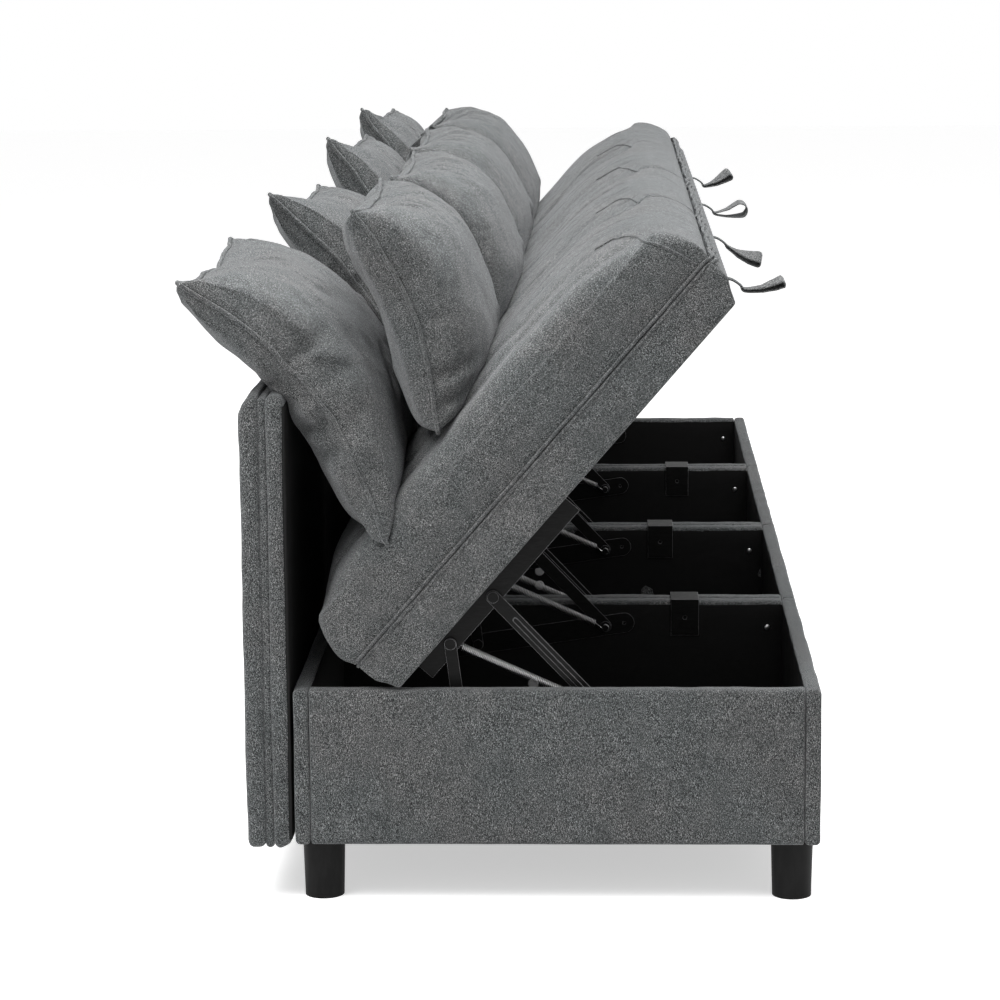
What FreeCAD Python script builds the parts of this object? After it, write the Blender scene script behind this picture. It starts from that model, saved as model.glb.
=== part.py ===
import FreeCAD, Part
import math
import os

import Sketcher
from FreeCAD import Placement, Rotation, Vector

# A row of four armless storage sofa seats that lock side by side and make a bed when their seats
# are shut. Every seat is a lid on a four-bar lift: here all four lids stand open. The row runs
# along X, the seats face -Y, and Z is up from the floor.

# Sizes in millimetres. A name ending in share or shares is a part of another size.
SIZES = {
    # One storage box and its place in the row
    "module_width": 578,
    "module_gap": 2,
    "box_length": 690,
    "panel_height": 210,
    "side_thickness": 24,
    "end_thickness": 20,
    "panel_round": 4,
    "board_thickness": 9,
    "leg_height": 76,
    "leg_top_diameter": 56,
    "leg_foot_diameter": 52,
    "leg_inset": 35,
    # Upholstered back panel, two pads with a piping band between them
    "back_gap": 3,
    "back_height": 602,
    "back_front_pad": 24,
    "back_piping": 8,
    "back_rear_pad": 25,
    "back_round": 9,
    "piping_sink": 3,
    "bracket_width": 60,
    "bracket_height": 120,
    "bracket_inset": 110,
    # U-shaped clips that hold two neighbouring side panels together
    "clip_steel": 2,
    "clip_width": 41,
    "clip_drop": 52,
    "clip_clearance": 0.3,
    "clip_hole_diameter": 6,
    # Seat lid
    "seat_rear_setback": 28.3,
    "seat_front_overhang": 6.3,
    "seat_rest_gap": 3.2,
    "frame_height": 58,
    "frame_rail": 26,
    "frame_ply": 9,
    "frame_round": 6,
    "cushion_height": 134,
    "cushion_edge_height": 82,
    "cushion_rear_bulge": 17,
    "cushion_front_bulge": 26,
    "cushion_side_bulge": 5.5,
    # Pull tab
    "strap_width": 25,
    "strap_thickness": 1.3,
    "tab_reach": 56,
    "tab_tail": 22,
    "tab_root_radius": 3.4,
    # Lift mechanism, measured from the rear face and the top of the box
    "front_pivot_from_rear": 409,
    "front_pivot_depth": 36.7,
    "rear_pivot_from_rear": 221,
    "rear_pivot_depth": 64.3,
    "rail_front_pivot": 169,
    "rail_front_pivot_drop": 16.5,
    "rail_rear_pivot": 84.5,
    "rail_rear_pivot_drop": 14.8,
    "steel": 2.5,
    "layer_gap": 1,
    "arm_width": 18,
    "rear_arm_width": 16,
    "rib_width": 6,
    "rib_height": 0.6,
    "rib_setback": 42,
    "plate_width": 30,
    "plate_overhang": 28,
    "pin_diameter": 8,
    "pin_clearance": 0.05,
    "pin_head_diameter": 15,
    "pin_head": 2.5,
    "head_gap": 0.4,
    "rivet_head": 2.1,
    "rail_start": 34,
    "rail_end": 330,
    "rail_flange": 27,
    "rail_foot": 22,
    "screw_diameter": 5,
    # Lift springs
    "wire_diameter": 1.6,
    "hook_length": 16,
    "spring_inset": 8,
    "spring_post_diameter": 6.6,
    "eye_clearance": 0.1,
    # Loose back cushions
    "back_cushion_width": 530,
    "back_cushion_height": 384,
    "back_cushion_front": 74,
    "back_cushion_rear": 52,
    "back_cushion_bow": 40,
    "back_cushion_draw": 14,
    # Throw pillows
    "pillow_width": 500,
    "pillow_height": 300,
    "pillow_front": 64,
    "pillow_rear": 56,
    "pillow_bow": 14,
    "pillow_draw": 16,
    "soft_edge": 5,
    "soft_clearance": 0.5,
    "shut_lift": 8.6,
}

# The lid's tilt where it rests open, and how far each loose piece stands from upright there.
OPEN_TILT = 49.1
# Each module's pull tab points up or down by this much, and its loop is this thick.
TAB_DROOPS = (20, -24, 10, 26)
TAB_LOOP_SHARES = (0.2, 0.2, 0.42, 0.22)
# Where each back cushion and throw pillow stands along its open seat, and how far each leans back.
CUSHION_PLACE_SHARES = (0.198, 0.30, 0.356, 0.375)
CUSHION_LEANS = (37.5, 34, 31, 30)
PILLOW_PLACE_SHARES = (0.42, 0.483, 0.50, 0.50)
PILLOW_LEANS = (20, 26, 30, 28.5)
# How much of its swell each back cushion and pillow keeps where the two press on each other, and
# how much of its bow each back cushion keeps.
CUSHION_PRESS_SHARES = (1.0, 0.8, 0.62, 0.58)
CUSHION_BOW_SHARES = (1.0, 0.7, 0.25, 0.2)
PILLOW_PRESS_SHARES = (1.0, 0.8, 0.66, 0.62)
# Where they stand once the seats are shut and every cushion leans on its back panel.
SHUT_CUSHION_SHARES = (0.214, 0.22, 0.25, 0.255)
SHUT_CUSHION_LEAN = 34
SHUT_PILLOW_SHARES = (0.475, 0.415, 0.38, 0.37)
SHUT_PILLOW_LEAN = 27
# Where each clip sits in the room between the front of the box and its lift mechanism.
CLIP_PLACE_SHARES = (0.728, 0.860, 0.652)
# Turns in each lift spring, points measured on each arc of its wire, and the sweep of its eyes.
SPRING_TURNS = 8
SPRING_SAMPLES = 6
WIRE_FACETS = 6
EYE_SWEEP = 330
# Steps in which a loose piece is lowered onto its seat.
SEATING_STEPS = 4
MODULES = len(TAB_DROOPS)
SIDES = {"left": -1, "right": 1}


class Size:
    """A length that keeps its value and its formula in the sheet together."""

    def __init__(self, value, text):
        self.value = value
        self.text = text

    def _with(self, other, sign, value):
        text = other.text if isinstance(other, Size) else repr(other)
        return Size(value, f"({self.text} {sign} {text})")

    def __add__(self, other):
        return self._with(other, "+", self.value + number(other))

    def __sub__(self, other):
        return self._with(other, "-", self.value - number(other))

    def __mul__(self, other):
        return self._with(other, "*", self.value * number(other))

    def __truediv__(self, other):
        return self._with(other, "/", self.value / number(other))

    def __neg__(self):
        return Size(-self.value, f"(-{self.text})")

    __radd__ = __add__
    __rmul__ = __mul__


def number(size):
    return size.value if isinstance(size, Size) else size


doc = FreeCAD.newDocument("SofaBed")
sheet = doc.addObject("Spreadsheet::Sheet", "Dims")
for row, (alias, value) in enumerate(SIZES.items(), start=1):
    sheet.set(f"A{row}", alias)
    sheet.set(f"B{row}", str(value))
    sheet.setAlias(f"B{row}", alias)
doc.recompute()


class Sheet:
    """Gives every size of the sheet by its alias."""

    def __getattr__(self, alias):
        return Size(float(sheet.get(alias)), f"Dims.{alias}")


dims = Sheet()
parts = {}


def bind(obj, path, size):
    """Tie one property of an object to its formula in the sheet."""
    if isinstance(size, Size):
        obj.setExpression(path, size.text)
    elif "." in path:
        obj.setExpression(path, repr(size))
    else:
        setattr(obj, path, size)


def place(obj, x=0, y=0, z=0):
    for axis, size in zip("xyz", (x, y, z)):
        bind(obj, f"Placement.Base.{axis}", size)
    return obj


def keep(obj, node):
    """Hand one object over as a node of its own."""
    obj.Label = node
    parts[node] = obj
    return obj


def box(name, corner, span):
    made = doc.addObject("Part::Box", name)
    for path, size in zip(("Length", "Width", "Height"), span):
        bind(made, path, size)
    return place(made, *corner)


def rod(name, radius, length, placement):
    """A round bar that starts at the placement and runs along its Z axis."""
    made = doc.addObject("Part::Cylinder", name)
    bind(made, "Radius", radius)
    bind(made, "Height", length)
    made.Placement = placement
    return made


def join(name, pieces):
    made = doc.addObject("Part::MultiFuse", name)
    made.Shapes = pieces
    return made


def cut(name, base, tool):
    made = doc.addObject("Part::Cut", name)
    made.Base = base
    made.Tool = tool
    return made


def group(name, pieces):
    made = doc.addObject("Part::Compound", name)
    made.Links = pieces
    return made


def mirror(name, piece, x):
    """The same piece on the other side of a module's middle plane."""
    made = doc.addObject("Part::Mirroring", name)
    made.Source = piece
    made.Normal = Vector(1, 0, 0)
    made.Base = Vector(number(x), 0, 0)
    return made


def solid(name, shape, placement=None):
    made = doc.addObject("Part::Feature", name)
    made.Shape = shape
    if placement:
        made.Placement = placement
    return made


def rounded(name, base, radius, chosen):
    """Round the edges of a box that chosen() picks by their middle and direction."""
    doc.recompute()
    made = doc.addObject("Part::Fillet", name)
    made.Base = base
    picked = []
    for index, edge in enumerate(base.Shape.Edges, start=1):
        middle = edge.valueAt((edge.FirstParameter + edge.LastParameter) / 2)
        run = edge.Vertexes[-1].Point - edge.Vertexes[0].Point
        if chosen(middle, run.normalize()):
            picked.append((index, radius.value, radius.value))
    made.Edges = picked
    return made


# Places in the row

def module_x(index):
    """The middle of a module, counted from 1 at the near end."""
    return (dims.module_width + dims.module_gap) * (index - (MODULES + 1) / 2)


def along_y(ahead):
    """World Y of a place this far ahead of the middle of the boxes. The origin lies midway between
    the front of the boxes and the rearmost cushion corner."""
    return -(ahead + origin_shift)


def at(x, ahead, height, turn=0):
    """A frame in a side plane: its X runs forward, its Y up, both turned by an angle, and its Z
    points to the near end of the row."""
    forward = math.radians(turn)
    run = Vector(0, -math.cos(forward), math.sin(forward))
    rise = Vector(0, math.sin(forward), math.cos(forward))
    return Placement(
        Vector(number(x), number(along_y(ahead)), number(height)),
        Rotation(run, rise, Vector(-1, 0, 0), "XYZ"),
    )


panel_top = dims.leg_height + dims.panel_height
box_rear = -(dims.box_length / 2)
box_front = dims.box_length / 2
seat_length = dims.box_length - dims.seat_rear_setback + dims.seat_front_overhang
half_width = dims.module_width / 2


# The lift linkage in the side plane, as (ahead, height) pairs

def turned(point, degrees):
    angle = math.radians(degrees)
    return (
        point[0] * math.cos(angle) - point[1] * math.sin(angle),
        point[0] * math.sin(angle) + point[1] * math.cos(angle),
    )


def plus(one, other):
    return (one[0] + other[0], one[1] + other[1])


def minus(one, other):
    return (one[0] - other[0], one[1] - other[1])


def bearing(vector):
    return math.degrees(math.atan2(vector[1], vector[0]))


def crossing(centre_a, radius_a, centre_b, radius_b):
    """The higher of the two points where two circles cross."""
    span = minus(centre_b, centre_a)
    distance = math.hypot(*span)
    run = (distance**2 + radius_a**2 - radius_b**2) / (2 * distance)
    rise = math.sqrt(radius_a**2 - run**2)
    unit = (span[0] / distance, span[1] / distance)
    return max(
        (
            (
                centre_a[0] + unit[0] * run - unit[1] * side * rise,
                centre_a[1] + unit[1] * run + unit[0] * side * rise,
            )
            for side in (1, -1)
        ),
        key=lambda point: point[1],
    )


front_pivot = (
    (box_rear + dims.front_pivot_from_rear).value,
    (panel_top - dims.front_pivot_depth).value,
)
rear_pivot = (
    (box_rear + dims.rear_pivot_from_rear).value,
    (panel_top - dims.rear_pivot_depth).value,
)
rail_front = (dims.rail_front_pivot.value, -dims.rail_front_pivot_drop.value)
rail_rear = (dims.rail_rear_pivot.value, -dims.rail_rear_pivot_drop.value)
shut_corner = (
    (box_rear + dims.seat_rear_setback).value,
    (panel_top + dims.seat_rest_gap).value,
)
front_arm_length = math.dist(plus(shut_corner, rail_front), front_pivot)
rear_arm_length = math.dist(plus(shut_corner, rail_rear), rear_pivot)
open_corner = crossing(
    minus(front_pivot, turned(rail_front, OPEN_TILT)),
    front_arm_length,
    minus(rear_pivot, turned(rail_rear, OPEN_TILT)),
    rear_arm_length,
)
open_front = plus(open_corner, turned(rail_front, OPEN_TILT))
open_rear = plus(open_corner, turned(rail_rear, OPEN_TILT))
front_arm_bearing = bearing(minus(open_front, front_pivot))
rear_arm_bearing = bearing(minus(open_rear, rear_pivot))
front_arm_turn = bearing(minus(plus(shut_corner, rail_front), front_pivot)) - front_arm_bearing
rear_arm_turn = bearing(minus(plus(shut_corner, rail_rear), rear_pivot)) - rear_arm_bearing


def on_lid(along, above):
    """The place in the side plane of a point of the open lid."""
    return plus(open_corner, turned((number(along), number(above)), OPEN_TILT))


# Slices across the seat cushion, as shares of its reach, its edge height and its crown height.
SEAT_SLICE_SHARES = (
    (0.0, 0.32, 0.20),
    (0.03, 0.78, 0.60),
    (0.12, 0.97, 0.85),
    (0.32, 1.0, 0.96),
    (0.60, 1.0, 1.0),
    (0.82, 0.99, 0.94),
    (0.94, 0.92, 0.78),
    (0.985, 0.70, 0.52),
    (1.0, 0.40, 0.26),
)


def crowned_section(station, low, edge, crown, half):
    """One slice across the seat cushion: flat below, bulging sides and a crowned top."""
    bulge = dims.cushion_side_bulge.value
    corners = [
        Vector(station, low, -half),
        Vector(station, low, half),
        Vector(station, edge, half),
        Vector(station, edge, -half),
    ]
    side_height = (low + edge) / 2
    return Part.Wire(
        [
            Part.LineSegment(corners[0], corners[1]).toShape(),
            Part.Arc(corners[1], Vector(station, side_height, half + bulge), corners[2]).toShape(),
            Part.Arc(corners[2], Vector(station, crown, 0), corners[3]).toShape(),
            Part.Arc(corners[3], Vector(station, side_height, -half - bulge), corners[0]).toShape(),
        ]
    )


def seat_cushion_shape():
    low = dims.frame_height.value
    reach = (seat_length + dims.cushion_rear_bulge + dims.cushion_front_bulge).value
    half = (half_width - dims.cushion_side_bulge - dims.clip_clearance).value
    wires = []
    for along, edge_share, crown_share in SEAT_SLICE_SHARES:
        station = along * reach - dims.cushion_rear_bulge.value
        edge = low + dims.cushion_edge_height.value * edge_share
        crown = low + dims.cushion_height.value * crown_share
        wires.append(crowned_section(station, low, edge, max(crown, edge + dims.soft_edge.value), half))
    return Part.makeLoft(wires, True)


seat_master = seat_cushion_shape()


# Slices of a loose piece, from its foot up, as shares of its height, its front swell, its rear
# swell, its bow and how far its sides are drawn in.
LOOSE_SLICE_SHARES = (
    (0.0, 0.05, 0.05, 0.0, 0.0),
    (0.10, 0.62, 0.62, 0.30, 0.45),
    (0.25, 0.92, 0.94, 0.78, 0.85),
    (0.45, 1.0, 1.0, 1.0, 1.0),
    (0.68, 0.94, 0.92, 0.86, 0.85),
    (0.88, 0.62, 0.58, 0.35, 0.42),
    (1.0, 0.10, 0.10, 0.0, 0.0),
)


def lens_section(height, bow, front, rear, half):
    """One level slice of a cushion: two shallow arcs that meet in a knife edge at each side."""
    left = Vector(bow, height, -half)
    right = Vector(bow, height, half)
    return Part.Wire(
        [
            Part.Arc(left, Vector(bow + front, height, 0), right).toShape(),
            Part.Arc(right, Vector(bow - rear, height, 0), left).toShape(),
        ]
    )


def loose_shape(width, height, front, rear, bow, draw):
    wires = []
    for rise, front_share, rear_share, bow_share, draw_share in LOOSE_SLICE_SHARES:
        wires.append(
            lens_section(
                height.value * rise,
                bow.value * bow_share,
                front.value * front_share,
                rear.value * rear_share,
                width.value / 2 - draw.value * draw_share,
            )
        )
    return Part.makeLoft(wires, True)


def back_cushion_shape(index):
    return loose_shape(
        dims.back_cushion_width,
        dims.back_cushion_height,
        dims.back_cushion_front * CUSHION_PRESS_SHARES[index],
        dims.back_cushion_rear,
        dims.back_cushion_bow * CUSHION_BOW_SHARES[index],
        dims.back_cushion_draw,
    )


def pillow_shape(index):
    return loose_shape(
        dims.pillow_width,
        dims.pillow_height,
        dims.pillow_front,
        dims.pillow_rear * PILLOW_PRESS_SHARES[index],
        dims.pillow_bow,
        dims.pillow_draw,
    )


def seated(shape, share, lean, clearance):
    """The foot of a loose piece that rests just clear of the seat's crown, in the lid's frame."""
    station = (seat_length * share).value
    above = (dims.frame_height + dims.cushion_height + dims.pillow_bow).value
    for _ in range(SEATING_STEPS):
        posed = shape.copy()
        posed.Placement = Placement(Vector(station, above, 0), Rotation(Vector(0, 0, 1), lean))
        above -= posed.distToShape(seat_master)[0] - clearance.value
    return station, above


class Loose:
    """One loose piece: its shape, its foot and lean with the lid open and with the lid shut."""

    def __init__(self, shape, share, lean, shut_share, shut_lean):
        self.shape = shape
        self.lean = lean
        self.shut_lean = shut_lean
        self.foot = seated(shape, share, lean - OPEN_TILT, dims.soft_clearance)
        self.shut_foot = seated(shape, shut_share, shut_lean, dims.shut_lift)

    def turn_to_shut(self):
        """The centre on the lid about which one turn takes the piece from its open place to its
        shut one, and that turn in degrees."""
        turn = math.radians(OPEN_TILT + self.shut_lean - self.lean)
        step = minus(self.shut_foot, self.foot)
        middle = plus(self.foot, (step[0] / 2, step[1] / 2))
        lever = 1 / (2 * math.tan(turn / 2))
        centre = (middle[0] - step[1] * lever, middle[1] + step[0] * lever)
        return centre, math.degrees(turn)

    def top(self):
        """The place in the side plane of the upper end of its middle line, with the lid open."""
        return plus(on_lid(*self.foot), turned((0, self.shape.BoundBox.YMax), self.lean))


back_cushions = [
    Loose(back_cushion_shape(index), share, lean, shut_share, SHUT_CUSHION_LEAN)
    for index, (share, lean, shut_share) in enumerate(
        zip(CUSHION_PLACE_SHARES, CUSHION_LEANS, SHUT_CUSHION_SHARES)
    )
]
throw_pillows = [
    Loose(pillow_shape(index), share, lean, shut_share, SHUT_PILLOW_LEAN)
    for index, (share, lean, shut_share) in enumerate(
        zip(PILLOW_PLACE_SHARES, PILLOW_LEANS, SHUT_PILLOW_SHARES)
    )
]
rear_reach = min(cushion.top()[0] for cushion in back_cushions)
origin_shift = -(rear_reach + box_front.value) / 2


# Boxes

def upholstered(name, corner, span, node):
    """A padded board whose long upper and lower edges are softly rounded."""
    board = box(f"{name}_board", corner, span)
    made = rounded(name, board, dims.panel_round, lambda middle, run: abs(run.z) < 0.5)
    return keep(made, node)


def side_panels(index):
    pair = []
    for side, sign in SIDES.items():
        edge = module_x(index) + half_width * sign
        corner_x = edge if sign < 0 else edge - dims.side_thickness
        board = box(
            f"side_board_{side}_{index}",
            (corner_x, along_y(box_front - dims.end_thickness), dims.leg_height),
            (dims.side_thickness, dims.box_length - dims.end_thickness * 2, dims.panel_height),
        )
        pair.append(
            rounded(
                f"side_panel_{side}_{index}",
                board,
                dims.panel_round,
                lambda middle, run: abs(run.y) > 0.5,
            )
        )
    keep(group(f"side_panels_{index}", pair), f"side_panels_{index}")


def end_panel(index, node, ahead):
    board = box(
        f"{node}_board_{index}",
        (module_x(index) - half_width, along_y(ahead), dims.leg_height),
        (dims.module_width, dims.end_thickness, dims.panel_height),
    )
    made = rounded(f"{node}_{index}", board, dims.panel_round, lambda middle, run: abs(run.x) > 0.5)
    keep(made, f"{node}_{index}")


def bottom_board(index):
    made = box(
        f"bottom_board_{index}",
        (
            module_x(index) - half_width + dims.side_thickness,
            along_y(box_front - dims.end_thickness),
            dims.leg_height,
        ),
        (
            dims.module_width - dims.side_thickness * 2,
            dims.box_length - dims.end_thickness * 2,
            dims.board_thickness,
        ),
    )
    keep(made, f"bottom_board_{index}")


def legs():
    """Four tapered feet under each box."""
    feet = []
    for index in range(1, MODULES + 1):
        for sign in SIDES.values():
            for end in (box_front - dims.leg_inset, box_rear + dims.leg_inset):
                foot = doc.addObject("Part::Cone", f"leg_{len(feet) + 1}")
                bind(foot, "Radius1", dims.leg_foot_diameter / 2)
                bind(foot, "Radius2", dims.leg_top_diameter / 2)
                bind(foot, "Height", dims.leg_height)
                x = module_x(index) + (half_width - dims.leg_inset) * sign
                feet.append(place(foot, x, along_y(end), 0))
    keep(group("leg_set", feet), "legs")


def back_panel(index):
    """Two rounded pads with a narrower piping band sandwiched between them."""
    start = box_rear - dims.back_gap
    flush = dims.piping_sink * 0
    layers = (
        ("front_pad", dims.back_front_pad, flush),
        ("piping_band", dims.back_piping, dims.piping_sink),
        ("rear_pad", dims.back_rear_pad, flush),
    )
    made = []
    for name, thickness, sink in layers:
        layer = box(
            f"{name}_{index}",
            (module_x(index) - half_width + sink, along_y(start), dims.leg_height + sink),
            (dims.module_width - sink * 2, thickness, dims.back_height - sink * 2),
        )
        if sink.value == 0:
            outer = along_y(start) if name == "front_pad" else along_y(start - thickness)
            layer = rounded(
                f"{name}_soft_{index}",
                layer,
                dims.back_round,
                lambda middle, run, face=number(outer): abs(middle.y - face) < Part.Precision.confusion(),
            )
        made.append(layer)
        start = start - thickness
    keep(join(f"back_panel_{index}", made), f"back_panel_{index}")


def back_brackets():
    """Steel plates that carry each back panel on the rear of its box."""
    plates = []
    for index in range(1, MODULES + 1):
        for sign in SIDES.values():
            middle = module_x(index) + (half_width - dims.bracket_inset) * sign
            plates.append(
                box(
                    f"back_bracket_{len(plates) + 1}",
                    (
                        middle - dims.bracket_width / 2,
                        along_y(box_rear),
                        panel_top - dims.bracket_height - dims.end_thickness,
                    ),
                    (dims.bracket_width, dims.back_gap, dims.bracket_height),
                )
            )
    keep(group("back_bracket_set", plates), "back_panel_brackets")


# Sketch outlines

def sketch_on(body, role, name):
    sketch = body.newObject("Sketcher::SketchObject", name)
    plane = next(item for item in body.Origin.OriginFeatures if item.Role == role)
    sketch.AttachmentSupport = (plane, [""])
    sketch.MapMode = "FlatFace"
    return sketch


def fix(sketch, name, constraint, size):
    index = sketch.addConstraint(constraint)
    sketch.renameConstraint(index, name)
    sketch.setExpression(f"Constraints.{name}", size.text)


def polygon(sketch, points):
    """A closed outline through points given as pairs of sizes, each tied to the sheet."""
    count = len(points)
    for index, point in enumerate(points):
        after = points[(index + 1) % count]
        sketch.addGeometry(
            Part.LineSegment(
                Vector(point[0].value, point[1].value, 0), Vector(after[0].value, after[1].value, 0)
            ),
            False,
        )
    for index in range(count):
        sketch.addConstraint(Sketcher.Constraint("Coincident", index, 2, (index + 1) % count, 1))
    for index, (x, y) in enumerate(points):
        for axis, size in (("X", x), ("Y", y)):
            if size.value:
                fix(
                    sketch,
                    f"point_{index}_{axis}",
                    Sketcher.Constraint(f"Distance{axis}", -1, 1, index, 1, size.value),
                    size,
                )
            else:
                sketch.addConstraint(
                    Sketcher.Constraint("PointOnObject", index, 1, -2 if axis == "X" else -1)
                )


def stadium(sketch, start, length, radius):
    """Two half circles and the straight runs between them, along the sketch's X axis."""
    first, last = start.value, (start + length).value
    reach = radius.value
    axis = Vector(0, 0, 1)
    half_turn = math.pi / 2
    first_geometry = sketch.GeometryCount
    tail, nose, over, under = range(first_geometry, first_geometry + 4)
    sketch.addGeometry(
        Part.ArcOfCircle(Part.Circle(Vector(first, 0, 0), axis, reach), half_turn, 3 * half_turn), False
    )
    sketch.addGeometry(
        Part.ArcOfCircle(Part.Circle(Vector(last, 0, 0), axis, reach), -half_turn, half_turn), False
    )
    sketch.addGeometry(Part.LineSegment(Vector(first, reach, 0), Vector(last, reach, 0)), False)
    sketch.addGeometry(Part.LineSegment(Vector(first, -reach, 0), Vector(last, -reach, 0)), False)
    for one, one_end, other, other_end in (
        (tail, 1, over, 1),
        (tail, 2, under, 1),
        (nose, 1, under, 2),
        (nose, 2, over, 2),
    ):
        sketch.addConstraint(Sketcher.Constraint("Tangent", one, one_end, other, other_end))
    sketch.addConstraint(Sketcher.Constraint("PointOnObject", tail, 3, -1))
    sketch.addConstraint(Sketcher.Constraint("PointOnObject", nose, 3, -1))
    if first:
        fix(
            sketch,
            f"start_{first_geometry}",
            Sketcher.Constraint("DistanceX", -1, 1, tail, 3, first),
            start,
        )
    else:
        sketch.addConstraint(Sketcher.Constraint("PointOnObject", tail, 3, -2))
    fix(
        sketch,
        f"length_{first_geometry}",
        Sketcher.Constraint("DistanceX", tail, 3, nose, 3, length.value),
        length,
    )
    fix(sketch, f"radius_{first_geometry}", Sketcher.Constraint("Radius", tail, reach), radius)


def hole(sketch, place_x, radius):
    """A round hole on the sketch's X axis."""
    index = sketch.GeometryCount
    sketch.addGeometry(
        Part.Circle(Vector(place_x.value, 0, 0), Vector(0, 0, 1), radius.value), False
    )
    sketch.addConstraint(Sketcher.Constraint("PointOnObject", index, 3, -1))
    if place_x.value:
        fix(
            sketch,
            f"hole_{index}",
            Sketcher.Constraint("DistanceX", -1, 1, index, 3, place_x.value),
            place_x,
        )
    else:
        sketch.addConstraint(Sketcher.Constraint("PointOnObject", index, 3, -2))
    fix(sketch, f"bore_{index}", Sketcher.Constraint("Radius", index, radius.value), radius)


def pad(body, sketch, length, both=False):
    made = body.newObject("PartDesign::Pad", f"{sketch.Name}_pad")
    made.Profile = sketch
    made.setExpression("Length", length.text)
    made.Midplane = both
    return made


def new_body(name, placement=None):
    made = doc.addObject("PartDesign::Body", name)
    if placement:
        made.Placement = placement
    return made


# Clips between the modules

def connector_clips():
    """Bent steel channels pushed over two side panels from above."""
    wall = dims.clip_steel
    inner = dims.side_thickness * 2 + dims.module_gap + dims.clip_clearance * 2
    outer = inner + wall * 2
    height = dims.clip_drop + wall
    room = dims.box_length - dims.front_pivot_from_rear - dims.plate_overhang - dims.plate_width / 2
    clips = []
    for index, share in enumerate(CLIP_PLACE_SHARES, start=1):
        body = new_body(f"clip_{index}")
        profile = sketch_on(body, "XZ_Plane", f"clip_profile_{index}")
        zero = wall * 0
        polygon(
            profile,
            [
                (zero, zero),
                (wall, zero),
                (wall, height - wall),
                (outer - wall, height - wall),
                (outer - wall, zero),
                (outer, zero),
                (outer, height),
                (zero, height),
            ],
        )
        pad(body, profile, dims.clip_width)
        bore = sketch_on(body, "YZ_Plane", f"clip_bore_{index}")
        centre = Vector((dims.clip_width / -2).value, (height / 2).value, 0)
        bore.addGeometry(
            Part.Circle(centre, Vector(0, 0, 1), (dims.clip_hole_diameter / 2).value), False
        )
        fix(
            bore,
            "bore_along",
            Sketcher.Constraint("DistanceX", -1, 1, 0, 3, centre.x),
            dims.clip_width / -2,
        )
        fix(bore, "bore_up", Sketcher.Constraint("DistanceY", -1, 1, 0, 3, centre.y), height / 2)
        fix(
            bore,
            "bore_radius",
            Sketcher.Constraint("Radius", 0, (dims.clip_hole_diameter / 2).value),
            dims.clip_hole_diameter / 2,
        )
        doc.recompute()
        pocket = body.newObject("PartDesign::Pocket", f"clip_pocket_{index}")
        pocket.Profile = bore
        pocket.Type = "ThroughAll"
        pocket.Midplane = True
        seam = module_x(index) + half_width + dims.module_gap / 2
        place(
            body,
            seam - outer / 2,
            along_y(box_front - dims.clip_width - (room - dims.clip_width) * share),
            panel_top + dims.clip_clearance - dims.clip_drop,
        )
        clips.append(body)
    keep(group("clip_set", clips), "connector_clips")


# Lift mechanism. Its layers lie side by side, counted inward from a side panel.

plate_layer = dims.side_thickness
arm_layer = plate_layer + dims.steel + dims.layer_gap
rail_layer = arm_layer + dims.steel + dims.layer_gap
spring_layer = rail_layer + dims.steel + dims.spring_inset


def layer_x(index, depth):
    """World X of a layer on the left side of a module. The right side is its mirror image."""
    return module_x(index) - half_width + depth


def both_sides(name, piece, index, node):
    other = mirror(f"{name}_right_{index}", piece, module_x(index))
    keep(group(f"{name}_pair_{index}", [piece, other]), node)


def pin(name, index, centre, depth, length, radius):
    """A round pin across the module, starting at a layer and running inward."""
    frame = at(layer_x(index, depth), centre[0], centre[1])
    frame.Rotation = frame.Rotation.multiply(Rotation(Vector(1, 0, 0), 180))
    return rod(f"{name}_{index}", radius, length, frame)


def plate_body(name, centre, turn, x, start, length, radius, thickness, bores):
    """A flat steel bar with round ends and bores along its middle, in a side plane."""
    body = new_body(name, at(x, centre[0], centre[1], turn))
    outline = sketch_on(body, "XY_Plane", f"{name}_outline")
    stadium(outline, start, length, radius)
    for place_x, bore_radius in bores:
        hole(outline, place_x, bore_radius)
    pad(body, outline, thickness)
    return body


def measured(value):
    """A length that the linkage gives, with no formula of its own."""
    return Size(value, repr(value))


def lift_plates():
    """Bars screwed inside the side panels, with a fixed pin for each arm and for the springs."""
    span = measured(math.dist(front_pivot, rear_pivot))
    turn = bearing(minus(front_pivot, rear_pivot))
    bore = dims.screw_diameter / 2
    pin_reach = dims.steel + dims.layer_gap + dims.steel + dims.head_gap
    pieces = []
    for index in range(1, MODULES + 1):
        bar = plate_body(
            f"lift_bar_{index}",
            rear_pivot,
            turn,
            layer_x(index, plate_layer + dims.steel),
            -dims.plate_overhang,
            span + dims.plate_overhang * 2,
            dims.plate_width / 2,
            dims.steel,
            [(-dims.plate_overhang, bore), (span + dims.plate_overhang, bore)],
        )
        whole = [bar]
        for name, centre in (("front_pin", front_pivot), ("rear_pin", rear_pivot)):
            whole.append(pin(name, index, centre, plate_layer, pin_reach, dims.pin_diameter / 2))
            whole.append(
                pin(
                    f"{name}_head",
                    index,
                    centre,
                    plate_layer + pin_reach,
                    dims.pin_head,
                    dims.pin_head_diameter / 2,
                )
            )
        start = plate_layer + pin_reach + dims.pin_head
        whole += spring_post("front_post", index, front_pivot, start)
        left = join(f"lift_plate_{index}", whole)
        pieces += [left, mirror(f"lift_plate_right_{index}", left, module_x(index))]
    keep(group("lift_plate_set", pieces), "lift_base_plates")


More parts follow.
